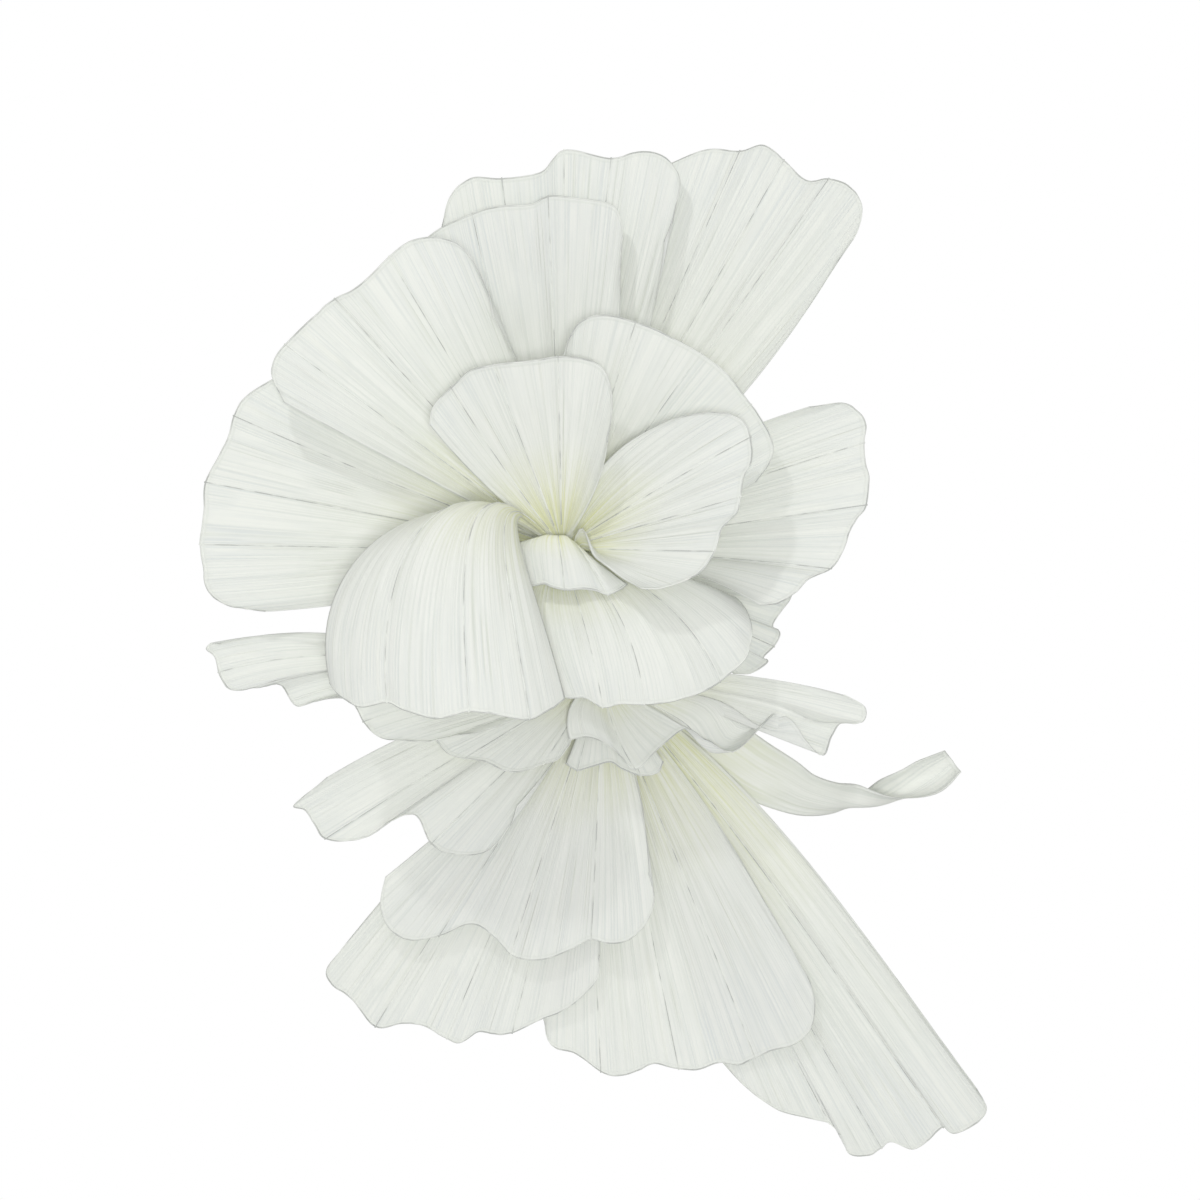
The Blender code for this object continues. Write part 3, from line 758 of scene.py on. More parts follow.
PETALS = (
    PetalShape(
        name="petal_back_right",
        hub=UPPER,
        root_depth=0.050,
        root_angle=55,
        rim=(
            (0.22, 1.01), (0.30, 1.04), (0.38, 1.036), (0.435, 1.05), (0.485, 1.016), (0.535, 0.966),
            (0.59, 0.97), (0.64, 0.95), (0.668, 0.90), (0.655, 0.84), (0.60, 0.76),
        ),
        ribs=(2, 4, 6),
        depths=(0.055, 0.055, 0.075),
        cup=(-0.005, 0.03),
        lift=(-0.005, 0.02),
        sway=(0.0, 0.07),
    ),
    PetalShape(
        name="petal_back_top",
        hub=UPPER,
        root_depth=0.074,
        root_angle=90,
        rim=(
            (-0.32, 0.85), (-0.30, 0.92), (-0.25, 0.962), (-0.18, 0.962), (-0.09, 0.975), (-0.034, 1.027),
            (0.076, 1.008), (0.144, 1.025), (0.20, 1.012), (0.237, 0.96), (0.23, 0.895), (0.20, 0.81),
        ),
        ribs=(3, 5, 6),
        depths=(0.086, 0.088, 0.108),
        cup=(0.01, 0.02),
        lift=(0.0, 0.015),
        sway=(0.05, 0.05),
    ),
    PetalShape(
        name="petal_top",
        hub=UPPER,
        root_depth=0.098,
        root_angle=96,
        rim=(
            (-0.352, 0.808), (-0.31, 0.836), (-0.245, 0.866), (-0.19, 0.882), (-0.11, 0.889),
            (-0.07, 0.908), (0.006, 0.903), (0.075, 0.888), (0.10, 0.85), (0.102, 0.79), (0.095, 0.70),
        ),
        ribs=(2, 5),
        depths=(0.122, 0.130, 0.152),
        cup=(0.02, 0.02),
        lift=(0.01, 0.01),
        sway=(0.04, 0.05),
    ),
    PetalShape(
        name="petal_left",
        hub=UPPER,
        root_depth=0.098,
        root_angle=186,
        rim=(
            (-0.70, -0.052), (-0.78, -0.04), (-0.82, -0.018), (-0.838, 0.012), (-0.842, 0.05),
            (-0.85, 0.10), (-0.842, 0.17), (-0.838, 0.24), (-0.804, 0.308), (-0.785, 0.35),
            (-0.776, 0.39), (-0.75, 0.435), (-0.687, 0.478),
        ),
        ribs=(5, 7, 10),
        depths=(0.135, 0.180, 0.240),
        cup=(0.02, 0.0),
        lift=(0.02, -0.02),
        sway=(0.03, -0.02),
    ),
    PetalShape(
        name="petal_upper_left",
        hub=UPPER,
        root_depth=0.124,
        root_angle=133,
        rim=(
            (-0.65, 0.412), (-0.678, 0.47), (-0.672, 0.51), (-0.65, 0.543), (-0.58, 0.612),
            (-0.541, 0.646), (-0.49, 0.672), (-0.42, 0.739), (-0.37, 0.775), (-0.308, 0.781),
            (-0.25, 0.755), (-0.205, 0.68), (-0.185, 0.60),
        ),
        ribs=(3, 5, 7),
        depths=(0.185, 0.225, 0.275),
        cup=(0.02, 0.012),
        lift=(0.02, 0.02),
        sway=(0.0, 0.04),
    ),
    PetalShape(
        name="petal_upper_right",
        hub=UPPER,
        root_depth=0.150,
        root_angle=56,
        rim=(
            (-0.034, 0.52), (-0.02, 0.56), (0.01, 0.60), (0.06, 0.612), (0.13, 0.597), (0.20, 0.568),
            (0.275, 0.527), (0.335, 0.48), (0.388, 0.412), (0.42, 0.365), (0.438, 0.32),
            (0.43, 0.28), (0.40, 0.24),
        ),
        ribs=(4, 6, 8),
        depths=(0.200, 0.225, 0.262),
        cup=(0.01, 0.0),
        lift=(0.0, -0.01),
        sway=(0.015, 0.03),
    ),
    PetalShape(
        name="petal_right_outer",
        hub=UPPER,
        root_depth=0.098,
        root_angle=8,
        rim=(
            (0.524, 0.415), (0.597, 0.422), (0.636, 0.40), (0.652, 0.37), (0.647, 0.33), (0.65, 0.283),
            (0.658, 0.248), (0.652, 0.19), (0.629, 0.156), (0.615, 0.129), (0.60, 0.089),
            (0.571, 0.046), (0.52, 0.022), (0.49, -0.01), (0.45, -0.033), (0.41, -0.038),
        ),
        ribs=(4, 7, 11),
        depths=(0.130, 0.170, 0.230),
        cup=(0.0, 0.05),
        lift=(-0.01, 0.02),
        sway=(0.05, -0.04),
    ),
    PetalShape(
        name="petal_right_small",
        hub=UPPER,
        root_depth=0.074,
        root_angle=-25,
        rim=(
            (0.50, 0.0), (0.487, -0.03), (0.475, -0.046), (0.452, -0.085), (0.468, -0.105),
            (0.454, -0.133), (0.431, -0.158), (0.438, -0.172), (0.40, -0.195), (0.36, -0.196),
        ),
        ribs=(5,),
        depths=(0.085, 0.105, 0.140),
        ruffle=0.008,
        waves=2.5,
        root_spread=30.0,
    ),
    PetalShape(
        name="petal_centre_top",
        hub=UPPER,
        root_depth=0.205,
        root_angle=100,
        rim=(
            (-0.325, 0.36), (-0.316, 0.40), (-0.277, 0.441), (-0.236, 0.478), (-0.185, 0.491),
            (-0.10, 0.50), (-0.042, 0.509), (0.019, 0.504), (0.055, 0.485), (0.073, 0.45),
            (0.078, 0.39), (0.07, 0.32),
        ),
        ribs=(2, 4, 6),
        depths=(0.245, 0.280, 0.325),
        cup=(0.01, 0.03),
        lift=(0.0, 0.01),
        sway=(0.02, 0.02),
    ),
    PetalShape(
        name="petal_right_inner",
        hub=UPPER,
        root_depth=0.205,
        root_angle=6,
        rim=(
            (0.20, 0.365), (0.245, 0.38), (0.295, 0.386), (0.335, 0.38), (0.366, 0.362), (0.378, 0.33),
            (0.381, 0.279), (0.364, 0.245), (0.357, 0.20), (0.349, 0.163), (0.319, 0.131),
            (0.30, 0.08), (0.266, 0.033), (0.223, 0.011), (0.178, -0.004), (0.14, 0.0),
        ),
        ribs=(5, 8, 11),
        depths=(0.250, 0.300, 0.350),
        cup=(0.0, 0.02),
        lift=(-0.02, 0.02),
        sway=(0.065, 0.0),
        root_spread=44.0,
        pushes=(
            Push(1.0, 0.16, 0.12, 0.13, (0.006, -0.062, 0.060)),
            Push(1.0, 0.42, 0.14, 0.22, (0.0, -0.034, 0.012)),
        ),
    ),
    PetalShape(
        name="petal_lower_right",
        hub=UPPER,
        root_depth=0.165,
        root_angle=-58,
        rim=(
            (0.36, -0.02), (0.379, -0.053), (0.387, -0.10), (0.372, -0.156), (0.316, -0.206),
            (0.27, -0.23), (0.205, -0.249), (0.148, -0.256), (0.098, -0.254), (0.056, -0.263),
            (0.02, -0.243), (-0.03, -0.24), (-0.10, -0.20),
        ),
        ribs=(4, 7, 9),
        depths=(0.250, 0.330, 0.300),
        cup=(-0.06, -0.02),
        lift=(-0.10, -0.03),
        sway=(0.02, 0.05),
        arch=((0.0, 0.0), (0.03, 0.06), (-0.065, 0.005)),
        droop=((0.0, 0.0), (0.05, 0.06), (-0.050, 0.0)),
    ),
    PetalShape(
        name="petal_front_lip",
        hub=UPPER,
        root_depth=0.2475,
        root_angle=96,
        rim=(
            (0.112, 0.010), (0.094, -0.004), (0.068, -0.014), (0.040, -0.006), (0.010, -0.002),
            (-0.029, -0.004), (-0.055, 0.002), (-0.072, 0.010), (-0.096, 0.006), (-0.122, 0.004),
        ),
        ribs=(2, 5),
        depths=(0.268, 0.276, 0.280),
        cup=(-0.03, -0.01),
        lift=(-0.012, -0.02),
        arch=((-0.060, 0.046), (-0.015, 0.070), (-0.100, 0.046)),
        droop=((-0.036, 0.030), (0.0, 0.045), (-0.060, 0.050)),
        root_spread=-34.0,
        lobe=Lobe.WAVY,
        creasing=1.7,
    ),
    PetalShape(
        name="petal_front_drooping",
        hub=UPPER,
        root_depth=0.2195,
        root_angle=168,
        rim=(
            (-0.027, -0.24), (-0.058, -0.262), (-0.10, -0.281), (-0.160, -0.271), (-0.228, -0.261),
            (-0.29, -0.276), (-0.36, -0.259), (-0.402, -0.243), (-0.458, -0.254), (-0.50, -0.235),
            (-0.53, -0.205),
        ),
        ribs=(2, 4, 7),
        depths=(0.400, 0.480, 0.430),
        cup=(-0.09, -0.07),
        lift=(-0.08, -0.05),
        arch=((-0.178, 0.283), (-0.12, 0.34), (-0.06, 0.30)),
        droop=((-0.055, 0.147), (-0.10, 0.25), (-0.23, 0.20)),
        root_spread=-30.0,
    ),
    PetalShape(
        name="petal_lower_right_ruffled",
        hub=LOWER,
        root_depth=0.132,
        root_angle=-18,
        rim=(
            (0.61, -0.241), (0.652, -0.268), (0.646, -0.30), (0.603, -0.303), (0.58, -0.339),
            (0.555, -0.38), (0.52, -0.345), (0.487, -0.291), (0.462, -0.280), (0.43, -0.293),
            (0.353, -0.362), (0.296, -0.344), (0.250, -0.319), (0.190, -0.358), (0.13, -0.407),
            (0.08, -0.366), (0.03, -0.341), (-0.02, -0.345),
        ),
        ribs=(10, 14),
        depths=(0.150, 0.175, 0.195),
        waver=(
            0.0, 0.010, 0.018, -0.010, -0.006, 0.018, 0.015, 0.0, -0.015, -0.008, 0.020, 0.006,
            -0.015, 0.006, 0.024, -0.008, -0.020, -0.012,
        ),
        pushes=(
            Push(0.53, 0.84, 0.075, 0.13, (-0.015, 0.012, -0.060)),
            Push(0.42, 0.84, 0.050, 0.12, (0.0, 0.010, -0.034)),
            Push(0.16, 0.88, 0.035, 0.10, (0.0, 0.012, -0.020)),
        ),
        sway=(0.03, 0.05),
        root_spread=50.0,
        lobe=Lobe.RUFFLED,
    ),
    PetalShape(
        name="petal_lower_ruffle",
        hub=LOWER,
        root_depth=0.118,
        root_angle=-68,
        rim=(
            (0.197, -0.40), (0.183, -0.425), (0.145, -0.432), (0.103, -0.418), (0.072, -0.402),
            (0.027, -0.413), (-0.003, -0.420), (-0.03, -0.404),
        ),
        ribs=(2, 6),
        depths=(0.122, 0.134, 0.148),
        ruffle=0.006,
        waves=1.5,
        root_spread=30.0,
    ),
    PetalShape(
        name="petal_left_ruffled",
        hub=LOWER,
        root_depth=0.132,
        root_angle=184,
        rim=(
            (-0.242, -0.326), (-0.335, -0.344), (-0.403, -0.342), (-0.439, -0.340), (-0.467, -0.322),
            (-0.485, -0.299), (-0.501, -0.267), (-0.514, -0.249), (-0.535, -0.242), (-0.562, -0.249),
            (-0.605, -0.261), (-0.636, -0.267), (-0.652, -0.258), (-0.666, -0.231), (-0.675, -0.218),
            (-0.691, -0.213), (-0.720, -0.220), (-0.756, -0.229), (-0.784, -0.227), (-0.800, -0.211),
            (-0.811, -0.188), (-0.820, -0.154), (-0.840, -0.136), (-0.834, -0.125), (-0.810, -0.121),
        ),
        ribs=(1, 5, 20),
        depths=(0.160, 0.190, 0.215),
        lift=(0.0, 0.02),
        waver=(
            0.0, 0.0, 0.0, 0.0, 0.006, 0.014, 0.022, 0.028, 0.028, 0.022, 0.004, -0.012, -0.016,
            -0.014, -0.008, 0.0, 0.010, 0.014, 0.014, 0.010, 0.008, 0.004, 0.0, -0.008, -0.010,
        ),
        pushes=(
            Push(0.35, 0.86, 0.045, 0.10, (0.0, 0.012, -0.040)),
            Push(0.93, 0.70, 0.06, 0.09, (0.0, -0.016, -0.010)),
            Push(0.60, 0.78, 0.05, 0.16, (0.0, 0.014, 0.0)),
        ),
        sway=(0.02, 0.01),
        droop=((0.0, 0.0), (0.0, 0.070), (0.02, 0.085)),
        root_spread=30.0,
        lobe=Lobe.RUFFLED,
    ),
    PetalShape(
        name="petal_lower_left_middle",
        hub=LOWER,
        root_depth=0.118,
        root_angle=226,
        rim=(
            (-0.02, -0.36), (-0.046, -0.393), (-0.08, -0.403), (-0.128, -0.420), (-0.169, -0.418),
            (-0.215, -0.397), (-0.263, -0.390), (-0.30, -0.377), (-0.33, -0.345),
        ),
        ribs=(2, 6),
        depths=(0.128, 0.148, 0.168),
        lift=(-0.01, 0.0),
        root_spread=30.0,
    ),
    PetalShape(
        name="petal_lower_left",
        hub=LOWER,
        root_depth=0.102,
        root_angle=222,
        rim=(
            (-0.14, -0.50), (-0.159, -0.553), (-0.193, -0.595), (-0.235, -0.613), (-0.294, -0.611),
            (-0.340, -0.588), (-0.368, -0.530), (-0.393, -0.521), (-0.435, -0.540), (-0.474, -0.567),
            (-0.524, -0.581), (-0.584, -0.576), (-0.61, -0.54), (-0.630, -0.51), (-0.655, -0.495),
            (-0.58, -0.433),
        ),
        ribs=(5, 11),
        depths=(0.112, 0.130, 0.155),
        cup=(0.0, 0.01),
        lift=(0.0, 0.01),
        sway=(0.02, 0.04),
        root_spread=30.0,
    ),
    PetalShape(
        name="petal_lower_centre",
        hub=LOWER,
        root_depth=0.086,
        root_angle=266,
        rim=(
            (0.165, -0.66), (0.178, -0.72), (0.16, -0.775), (0.124, -0.813), (0.078, -0.827),
            (0.029, -0.817), (-0.017, -0.838), (-0.066, -0.859), (-0.119, -0.864), (-0.158, -0.850),
            (-0.20, -0.808), (-0.25, -0.780), (-0.325, -0.808), (-0.395, -0.817), (-0.440, -0.79),
            (-0.462, -0.735), (-0.450, -0.67),
        ),
        ribs=(5, 9, 12),
        depths=(0.092, 0.100, 0.122),
        cup=(0.0, -0.01),
        sway=(0.03, -0.02),
    ),
    PetalShape(
        name="petal_bottom_left",
        hub=LOWER,
        root_depth=0.070,
        root_angle=250,
        rim=(
            (0.05, -0.86), (0.046, -0.91), (0.02, -0.945), (-0.03, -0.986), (-0.095, -1.014),
            (-0.156, -1.042), (-0.20, -1.045), (-0.235, -1.04), (-0.277, -1.065), (-0.31, -1.056),
            (-0.364, -1.026), (-0.413, -1.019), (-0.478, -1.028), (-0.532, -0.963), (-0.580, -0.928),
            (-0.592, -0.89), (-0.548, -0.832),
        ),
        ribs=(5, 9, 12),
        depths=(0.072, 0.078, 0.095),
        sway=(0.0, 0.02),
    ),
    PetalShape(
        name="petal_bottom_centre",
        hub=LOWER,
        root_depth=0.050,
        root_angle=283,
        rim=(
            (0.50, -0.85), (0.545, -0.925), (0.558, -0.98), (0.549, -1.034), (0.515, -1.07),
            (0.462, -1.088), (0.417, -1.107), (0.379, -1.123), (0.332, -1.117), (0.285, -1.134),
            (0.236, -1.134), (0.177, -1.121), (0.139, -1.137), (0.095, -1.149), (0.052, -1.14),
            (-0.006, -1.097), (-0.056, -1.083), (-0.077, -1.055), (-0.082, -1.01),
        ),
        ribs=(6, 10, 14),
        depths=(0.050, 0.056, 0.075),
        cup=(0.012, 0.0),
        sway=(0.035, 0.05),
    ),
    PetalShape(
        name="petal_bottom_right",
        hub=LOWER,
        root_depth=0.034,
        root_angle=305,
        rim=(
            (0.93, -1.16), (0.955, -1.21), (0.935, -1.25), (0.885, -1.28), (0.860, -1.268),
            (0.828, -1.300), (0.79, -1.325), (0.741, -1.310), (0.718, -1.325), (0.685, -1.342),
            (0.64, -1.338), (0.615, -1.295), (0.595, -1.268), (0.541, -1.254), (0.479, -1.238),
            (0.425, -1.205), (0.376, -1.162), (0.33, -1.11),
        ),
        ribs=(4, 8, 12),
        depths=(0.032, 0.036, 0.060),
        cup=(0.02, 0.0),
        lift=(0.07, 0.0),
        sway=(0.035, 0.02),
        arch=((0.075, 0.045), (0.0, 0.0), (0.0, 0.0)),
    ),
)


@dataclass(frozen=True)
class CurlShape:
    """The curling petal: a band whose middle line is a curve and which turns about that line.

    line holds (x, z, depth) points. At turn 90 the band faces the viewer. bows is how far its edges
    stand off its middle, and level is the share of that at which the band's middle line lies. step
    is the share of the line over which its direction is taken.
    """

    name: str = "petal_right_curling"
    line: tuple[tuple[float, float, float], ...] = (
        (0.0638, -0.2067, 0.022), (0.21, -0.298, 0.023), (0.352, -0.383, 0.028), (0.420, -0.430, 0.032),
        (0.485, -0.464, 0.038), (0.541, -0.490, 0.050), (0.607, -0.501, 0.065), (0.656, -0.496, 0.082),
        (0.713, -0.485, 0.104), (0.768, -0.462, 0.121), (0.818, -0.432, 0.133), (0.866, -0.396, 0.141),
    )
    half_widths: tuple[float, ...] = (
        0.012, 0.048, 0.068, 0.071, 0.065, 0.053, 0.042, 0.036, 0.034, 0.038, 0.043, 0.030,
    )
    turns: tuple[float, ...] = (90, 90, 90, 90, 92, 98, 114, 148, 196, 232, 256, 262)
    bows: tuple[float, ...] = (0.0, 0.0, 0.0, 0.0, 0.004, 0.012, 0.026, 0.044, 0.046, 0.036, 0.034, 0.030)
    level: float = 0.4
    step: float = 0.02
    puff: float = 0.0015
    lobe: Lobe = Lobe.WAVY
    creasing: float = 0.35

    def surface(self, across: np.ndarray, along: np.ndarray) -> np.ndarray:
        """Middle surface.

        Args:
            across: Shares of the way across the band.
            along: Shares of the way from the root to the tip.

        Returns:
            Places, by share across and share along.
        """
        line = np.array([(x, -depth, z) for x, z, depth in self.line])
        middle = spline(line, along)
        forward = unit(spline(line, along + self.step) - spline(line, along - self.step))
        half_width = spline(np.array(self.half_widths)[:, None], along)
        turn = np.radians(spline(np.array(self.turns, dtype=float)[:, None], along))
        front = np.array([0.0, -1.0, 0.0])
        front = unit(front - forward * (forward @ front)[:, None])
        side = np.cross(forward, front)
        reach = (front * np.cos(turn) + side * np.sin(turn)) * half_width
        bow = (side * np.cos(turn) - front * np.sin(turn)) * spline(np.array(self.bows)[:, None], along)
        place = (2 * across - 1)[:, None, None]
        return middle[None] + reach[None] * place + bow[None] * (place**2 - self.level)

    def rib_shares(self) -> tuple[float, ...]:
        """No wire shows on this petal."""
        return ()


@dataclass(frozen=True)
class Ripple:
    """One kind of unevenness of the paper.

    Its height, its width along the rim and its length back from the rim are metres. shift is where
    in the noise it is read.
    """

    height: float
    width: float
    length: float
    shift: Pair = (0.0, 0.0)

    def over(self, noise: Crease, around: np.ndarray, inwards: np.ndarray) -> np.ndarray:
        """Its height over a sheet.

        Args:
            noise: The sheet's noise.
            around: Metres along the rim.
            inwards: Metres back from the rim.

        Returns:
            The heights.
        """
        across, along = around / self.width + self.shift[0], inwards / self.length + self.shift[1]
        return noise.at(across, along) * self.height


@dataclass
class PaperSheet:
    """One petal's sheet: a fine grid, pleated and puffed between its wires, then given thickness.

    Crimps and the ragged rim fade out over their zones, which are metres back from the rim. The
    others fade in over theirs, which are shares of the way from root to rim. A narrowing is the power
    of the sheet's share of its full width by which its creases or puffs shrink towards the root. A
    plain column gives way to a wire's within merge of its own width, and map_step is the distance
    between two petals on the paper's map.
    """

    shape: PetalShape | CurlShape
    number: int
    thickness: float = 0.0008
    column: float = 0.0066
    fewest_columns: int = 24
    row: float = 0.018
    fewest_rows: int = 12
    hem_rows: tuple[float, ...] = (0.0, 0.0022, 0.0076, 0.0096)
    side_hem: float = 0.009
    merge: float = 0.3
    first_grid: tuple[int, int] = (161, 41)
    pleats: Ripple = Ripple(0.0015, 0.045, 0.34, (0.0, 5.0))
    folds: Ripple = Ripple(0.0007, 0.019, 0.22, (0.0, 9.0))
    fold_zone: Pair = (0.0, 0.08)
    fold_narrowing: float = 0.75
    crimps: Ripple = Ripple(0.0007, 0.009, 0.03, (60.0, 3.0))
    crimp_zone: Pair = (0.0, 0.045)
    flutters: Ripple = Ripple(1.0, 0.068, 0.30, (0.0, 2.0))
    flutter_zone: Pair = (0.70, 1.0)
    puff_level: float = 0.75
    puff_change: Ripple = Ripple(0.35, 0.16, 0.25, (40.0, 0.0))
    puff_zone: Pair = (0.02, 0.35)
    puff_narrowing: float = 0.7
    hump_roundness: float = 0.7
    ragged: Ripple = Ripple(0.0011, 0.021, math.inf, (90.0, 1.5))
    ragged_zone: Pair = (0.0, 0.03)
    map_step: float = 1.7
    points: np.ndarray = field(init=False)
    normals: np.ndarray = field(init=False)
    across: np.ndarray = field(init=False)
    along: np.ndarray = field(init=False)
    around: np.ndarray = field(init=False)
    rim_distance: np.ndarray = field(init=False)
    edge_distance: np.ndarray = field(init=False)
    root_share: np.ndarray = field(init=False)
    width_share: np.ndarray = field(init=False)

    def __post_init__(self) -> None:
        """Measures the petal on a first grid, lays the fine grid out and shapes it."""
        columns, rows = self.first_grid
        first = self.shape.surface(np.linspace(0, 1, columns), np.linspace(0, 1, rows))
        rim_length = self._lengths(first, 0)[-1, -1]
        rib_length = self._lengths(first, 1)[columns // 2, -1]
        self.across = self._columns(rim_length)
        self.along = self._rows(rib_length)
        base = self.shape.surface(self.across, self.along)
        cross_length = self._lengths(base, 0)
        down_length = self._lengths(base, 1)
        self.rim_distance = down_length[:, -1:] - down_length
        side_distance = np.minimum(cross_length, cross_length[-1:] - cross_length)
        self.edge_distance = np.minimum(self.rim_distance, side_distance)
        self.around = self.across[:, None] * rim_length + 0 * self.rim_distance
        self.root_share = down_length / down_length[:, -1:]
        self.width_share = cross_length[-1:] / rim_length
        self.points = self._shaped(base)
        self.normals = self._facing(self.points)

    @staticmethod
    def _lengths(points: np.ndarray, axis: int) -> np.ndarray:
        """Length walked along each grid line up to each point.

        Args:
            points: The grid.
            axis: 0 walks across, 1 walks from the root to the rim.

        Returns:
            The lengths.
        """
        steps = np.linalg.norm(np.diff(points, axis=axis), axis=2)
        walked = np.cumsum(steps, axis=axis)
        return np.insert(walked, 0, 0.0, axis=axis)

    def _columns(self, rim_length: float) -> np.ndarray:
        """Columns of the grid, with one on every wire and one in each side hem.

        Args:
            rim_length: Length of the rim.

        Returns:
            Their shares across.
        """
        count = max(self.fewest_columns, round(rim_length / self.column))
        hem = self.side_hem / rim_length
        extra = (hem, 1 - hem, *self.shape.rib_shares())
        plain = np.linspace(0, 1, count + 1)
        near = np.min(np.abs(plain[:, None] - np.array(extra)[None]), axis=1) < self.merge / count
        near[0] = near[-1] = False
        return np.sort(np.concatenate([plain[~near], extra]))

    def _rows(self, rib_length: float) -> np.ndarray:
        """Rows of the grid, closer together in the hem.

        Args:
            rib_length: Length of the middle rib.

        Returns:
            Their shares of the way from root to rim.
        """
        hem = np.array(self.hem_rows) / rib_length
        count = max(self.fewest_rows, round(rib_length / self.row))
        plain = np.linspace(0, 1 - hem[-1], count)
        return np.concatenate([plain[:-1], 1 - hem[::-1]])

    @staticmethod
    def _facing(points: np.ndarray) -> np.ndarray:
        """Normals of the grid, towards the viewer where the sheet is flat."""
        return unit(np.cross(np.gradient(points, axis=0), np.gradient(points, axis=1)))

    def _humps(self) -> np.ndarray:
        """Shape of the paper between its wires: 0 on a wire and 1 in the middle between two.

        Returns:
            The share of the full puff in each column.
        """
        stops = np.array([0.0, *self.shape.rib_shares(), 1.0])
        index = np.clip(np.searchsorted(stops, self.across, side="right") - 1, 0, len(stops) - 2)
        t = (self.across - stops[index]) / (stops[index + 1] - stops[index])
        return np.sin(np.pi * np.clip(t, 0, 1))**self.hump_roundness

    def _shaped(self, base: np.ndarray) -> np.ndarray:
        """Pleats, puffs and flutters the plain grid.

        Args:
            base: The plain grid.

        Returns:
            The shaped grid.
        """
        wide = Crease(self.number)
        fine = Crease(self.number + 100)
        rim = Crease(self.number + 200)
        place = (self.around, self.rim_distance)
        share = self.along[None]
        creases = (self.pleats.over(wide, *place) + self.folds.over(fine, *place)) * self.shape.creasing
        creases = creases * self.width_share**self.fold_narrowing * smooth(share, *self.fold_zone)
        near_rim = (1 - smooth(self.rim_distance, *self.crimp_zone)) * self.shape.creasing
        crimps = self.crimps.over(fine, *place) * near_rim
        flutter = self.flutters.over(rim, *place) * self.shape.lobe.value * smooth(share, *self.flutter_zone)
        puff_height = (self.puff_level + self.puff_change.over(wide, *place)) * self.shape.puff
        puff = self._humps()[:, None] * puff_height * self.width_share**self.puff_narrowing
        lift = creases + crimps + flutter + puff * smooth(share, *self.puff_zone)
        ragged = self.ragged.over(rim, *place) * (1 - smooth(self.rim_distance, *self.ragged_zone))
        outwards = unit(np.gradient(base, axis=1))
        return base + self._facing(base) * lift[..., None] + outwards * ragged[..., None]

    def front(self, height: float) -> np.ndarray:
        """The grid moved off the middle of the paper.

        Args:
            height: Distance in front of the paper's face.

        Returns:
            The moved grid.
        """
        return self.points + self.normals * (self.thickness / 2 + height)

    def mesh(self) -> bpy.types.Mesh:
        """Closed sheet with its maps.

        Returns:
            The mesh.
        """
        columns, rows = self.points.shape[:2]
        count = columns * rows
        index = np.arange(count).reshape(columns, rows)
        corners = np.stack([index[:-1, :-1], index[1:, :-1], index[1:, 1:], index[:-1, 1:]], axis=-1)
        face = corners.reshape(-1, 4)
        border = np.concatenate([index[:-1, 0], index[-1, :-1], index[:0:-1, -1], index[0, :0:-1]])
        following = np.roll(border, -1)
        rim = np.stack([following, border, border + count, following + count], axis=-1)
        faces = np.concatenate([face, face[:, ::-1] + count, rim])
        places = np.concatenate([self.front(0.0).reshape(-1, 3), self.front(-self.thickness).reshape(-1, 3)])
        mesh = bpy.data.meshes.new(self.shape.name)
        mesh.from_pydata(places.tolist(), [], faces.tolist())
        smooth_faces = np.ones(len(faces), dtype=bool)
        smooth_faces[-len(rim):] = False
        mesh.polygons.foreach_set("use_smooth", smooth_faces)
        self._store(mesh, faces)
        mesh.update()
        return mesh

    def _store(self, mesh: bpy.types.Mesh, faces: np.ndarray) -> None:
        """Stores the weave map, the share from the root and the distance from the edge.

        Args:
            mesh: The sheet.
            faces: Its faces.
        """
        around = self.around + self.number * self.map_step
        weave = np.stack([around, self.rim_distance], axis=-1).reshape(-1, 2)
        weave = np.tile(weave, (2, 1)).astype(np.float32)
        mesh.uv_layers.new(name=WEAVE_MAP).data.foreach_set("uv", weave[faces.reshape(-1)].reshape(-1))
        share = np.tile(self.root_share.reshape(-1), 2)
        edge = np.tile(self.edge_distance.reshape(-1), 2)
        for name, values in ((ROOT_SHARE, share), (EDGE_DISTANCE, edge)):
            mesh.attributes.new(name, "FLOAT", "POINT").data.foreach_set("value", values.astype(np.float32))


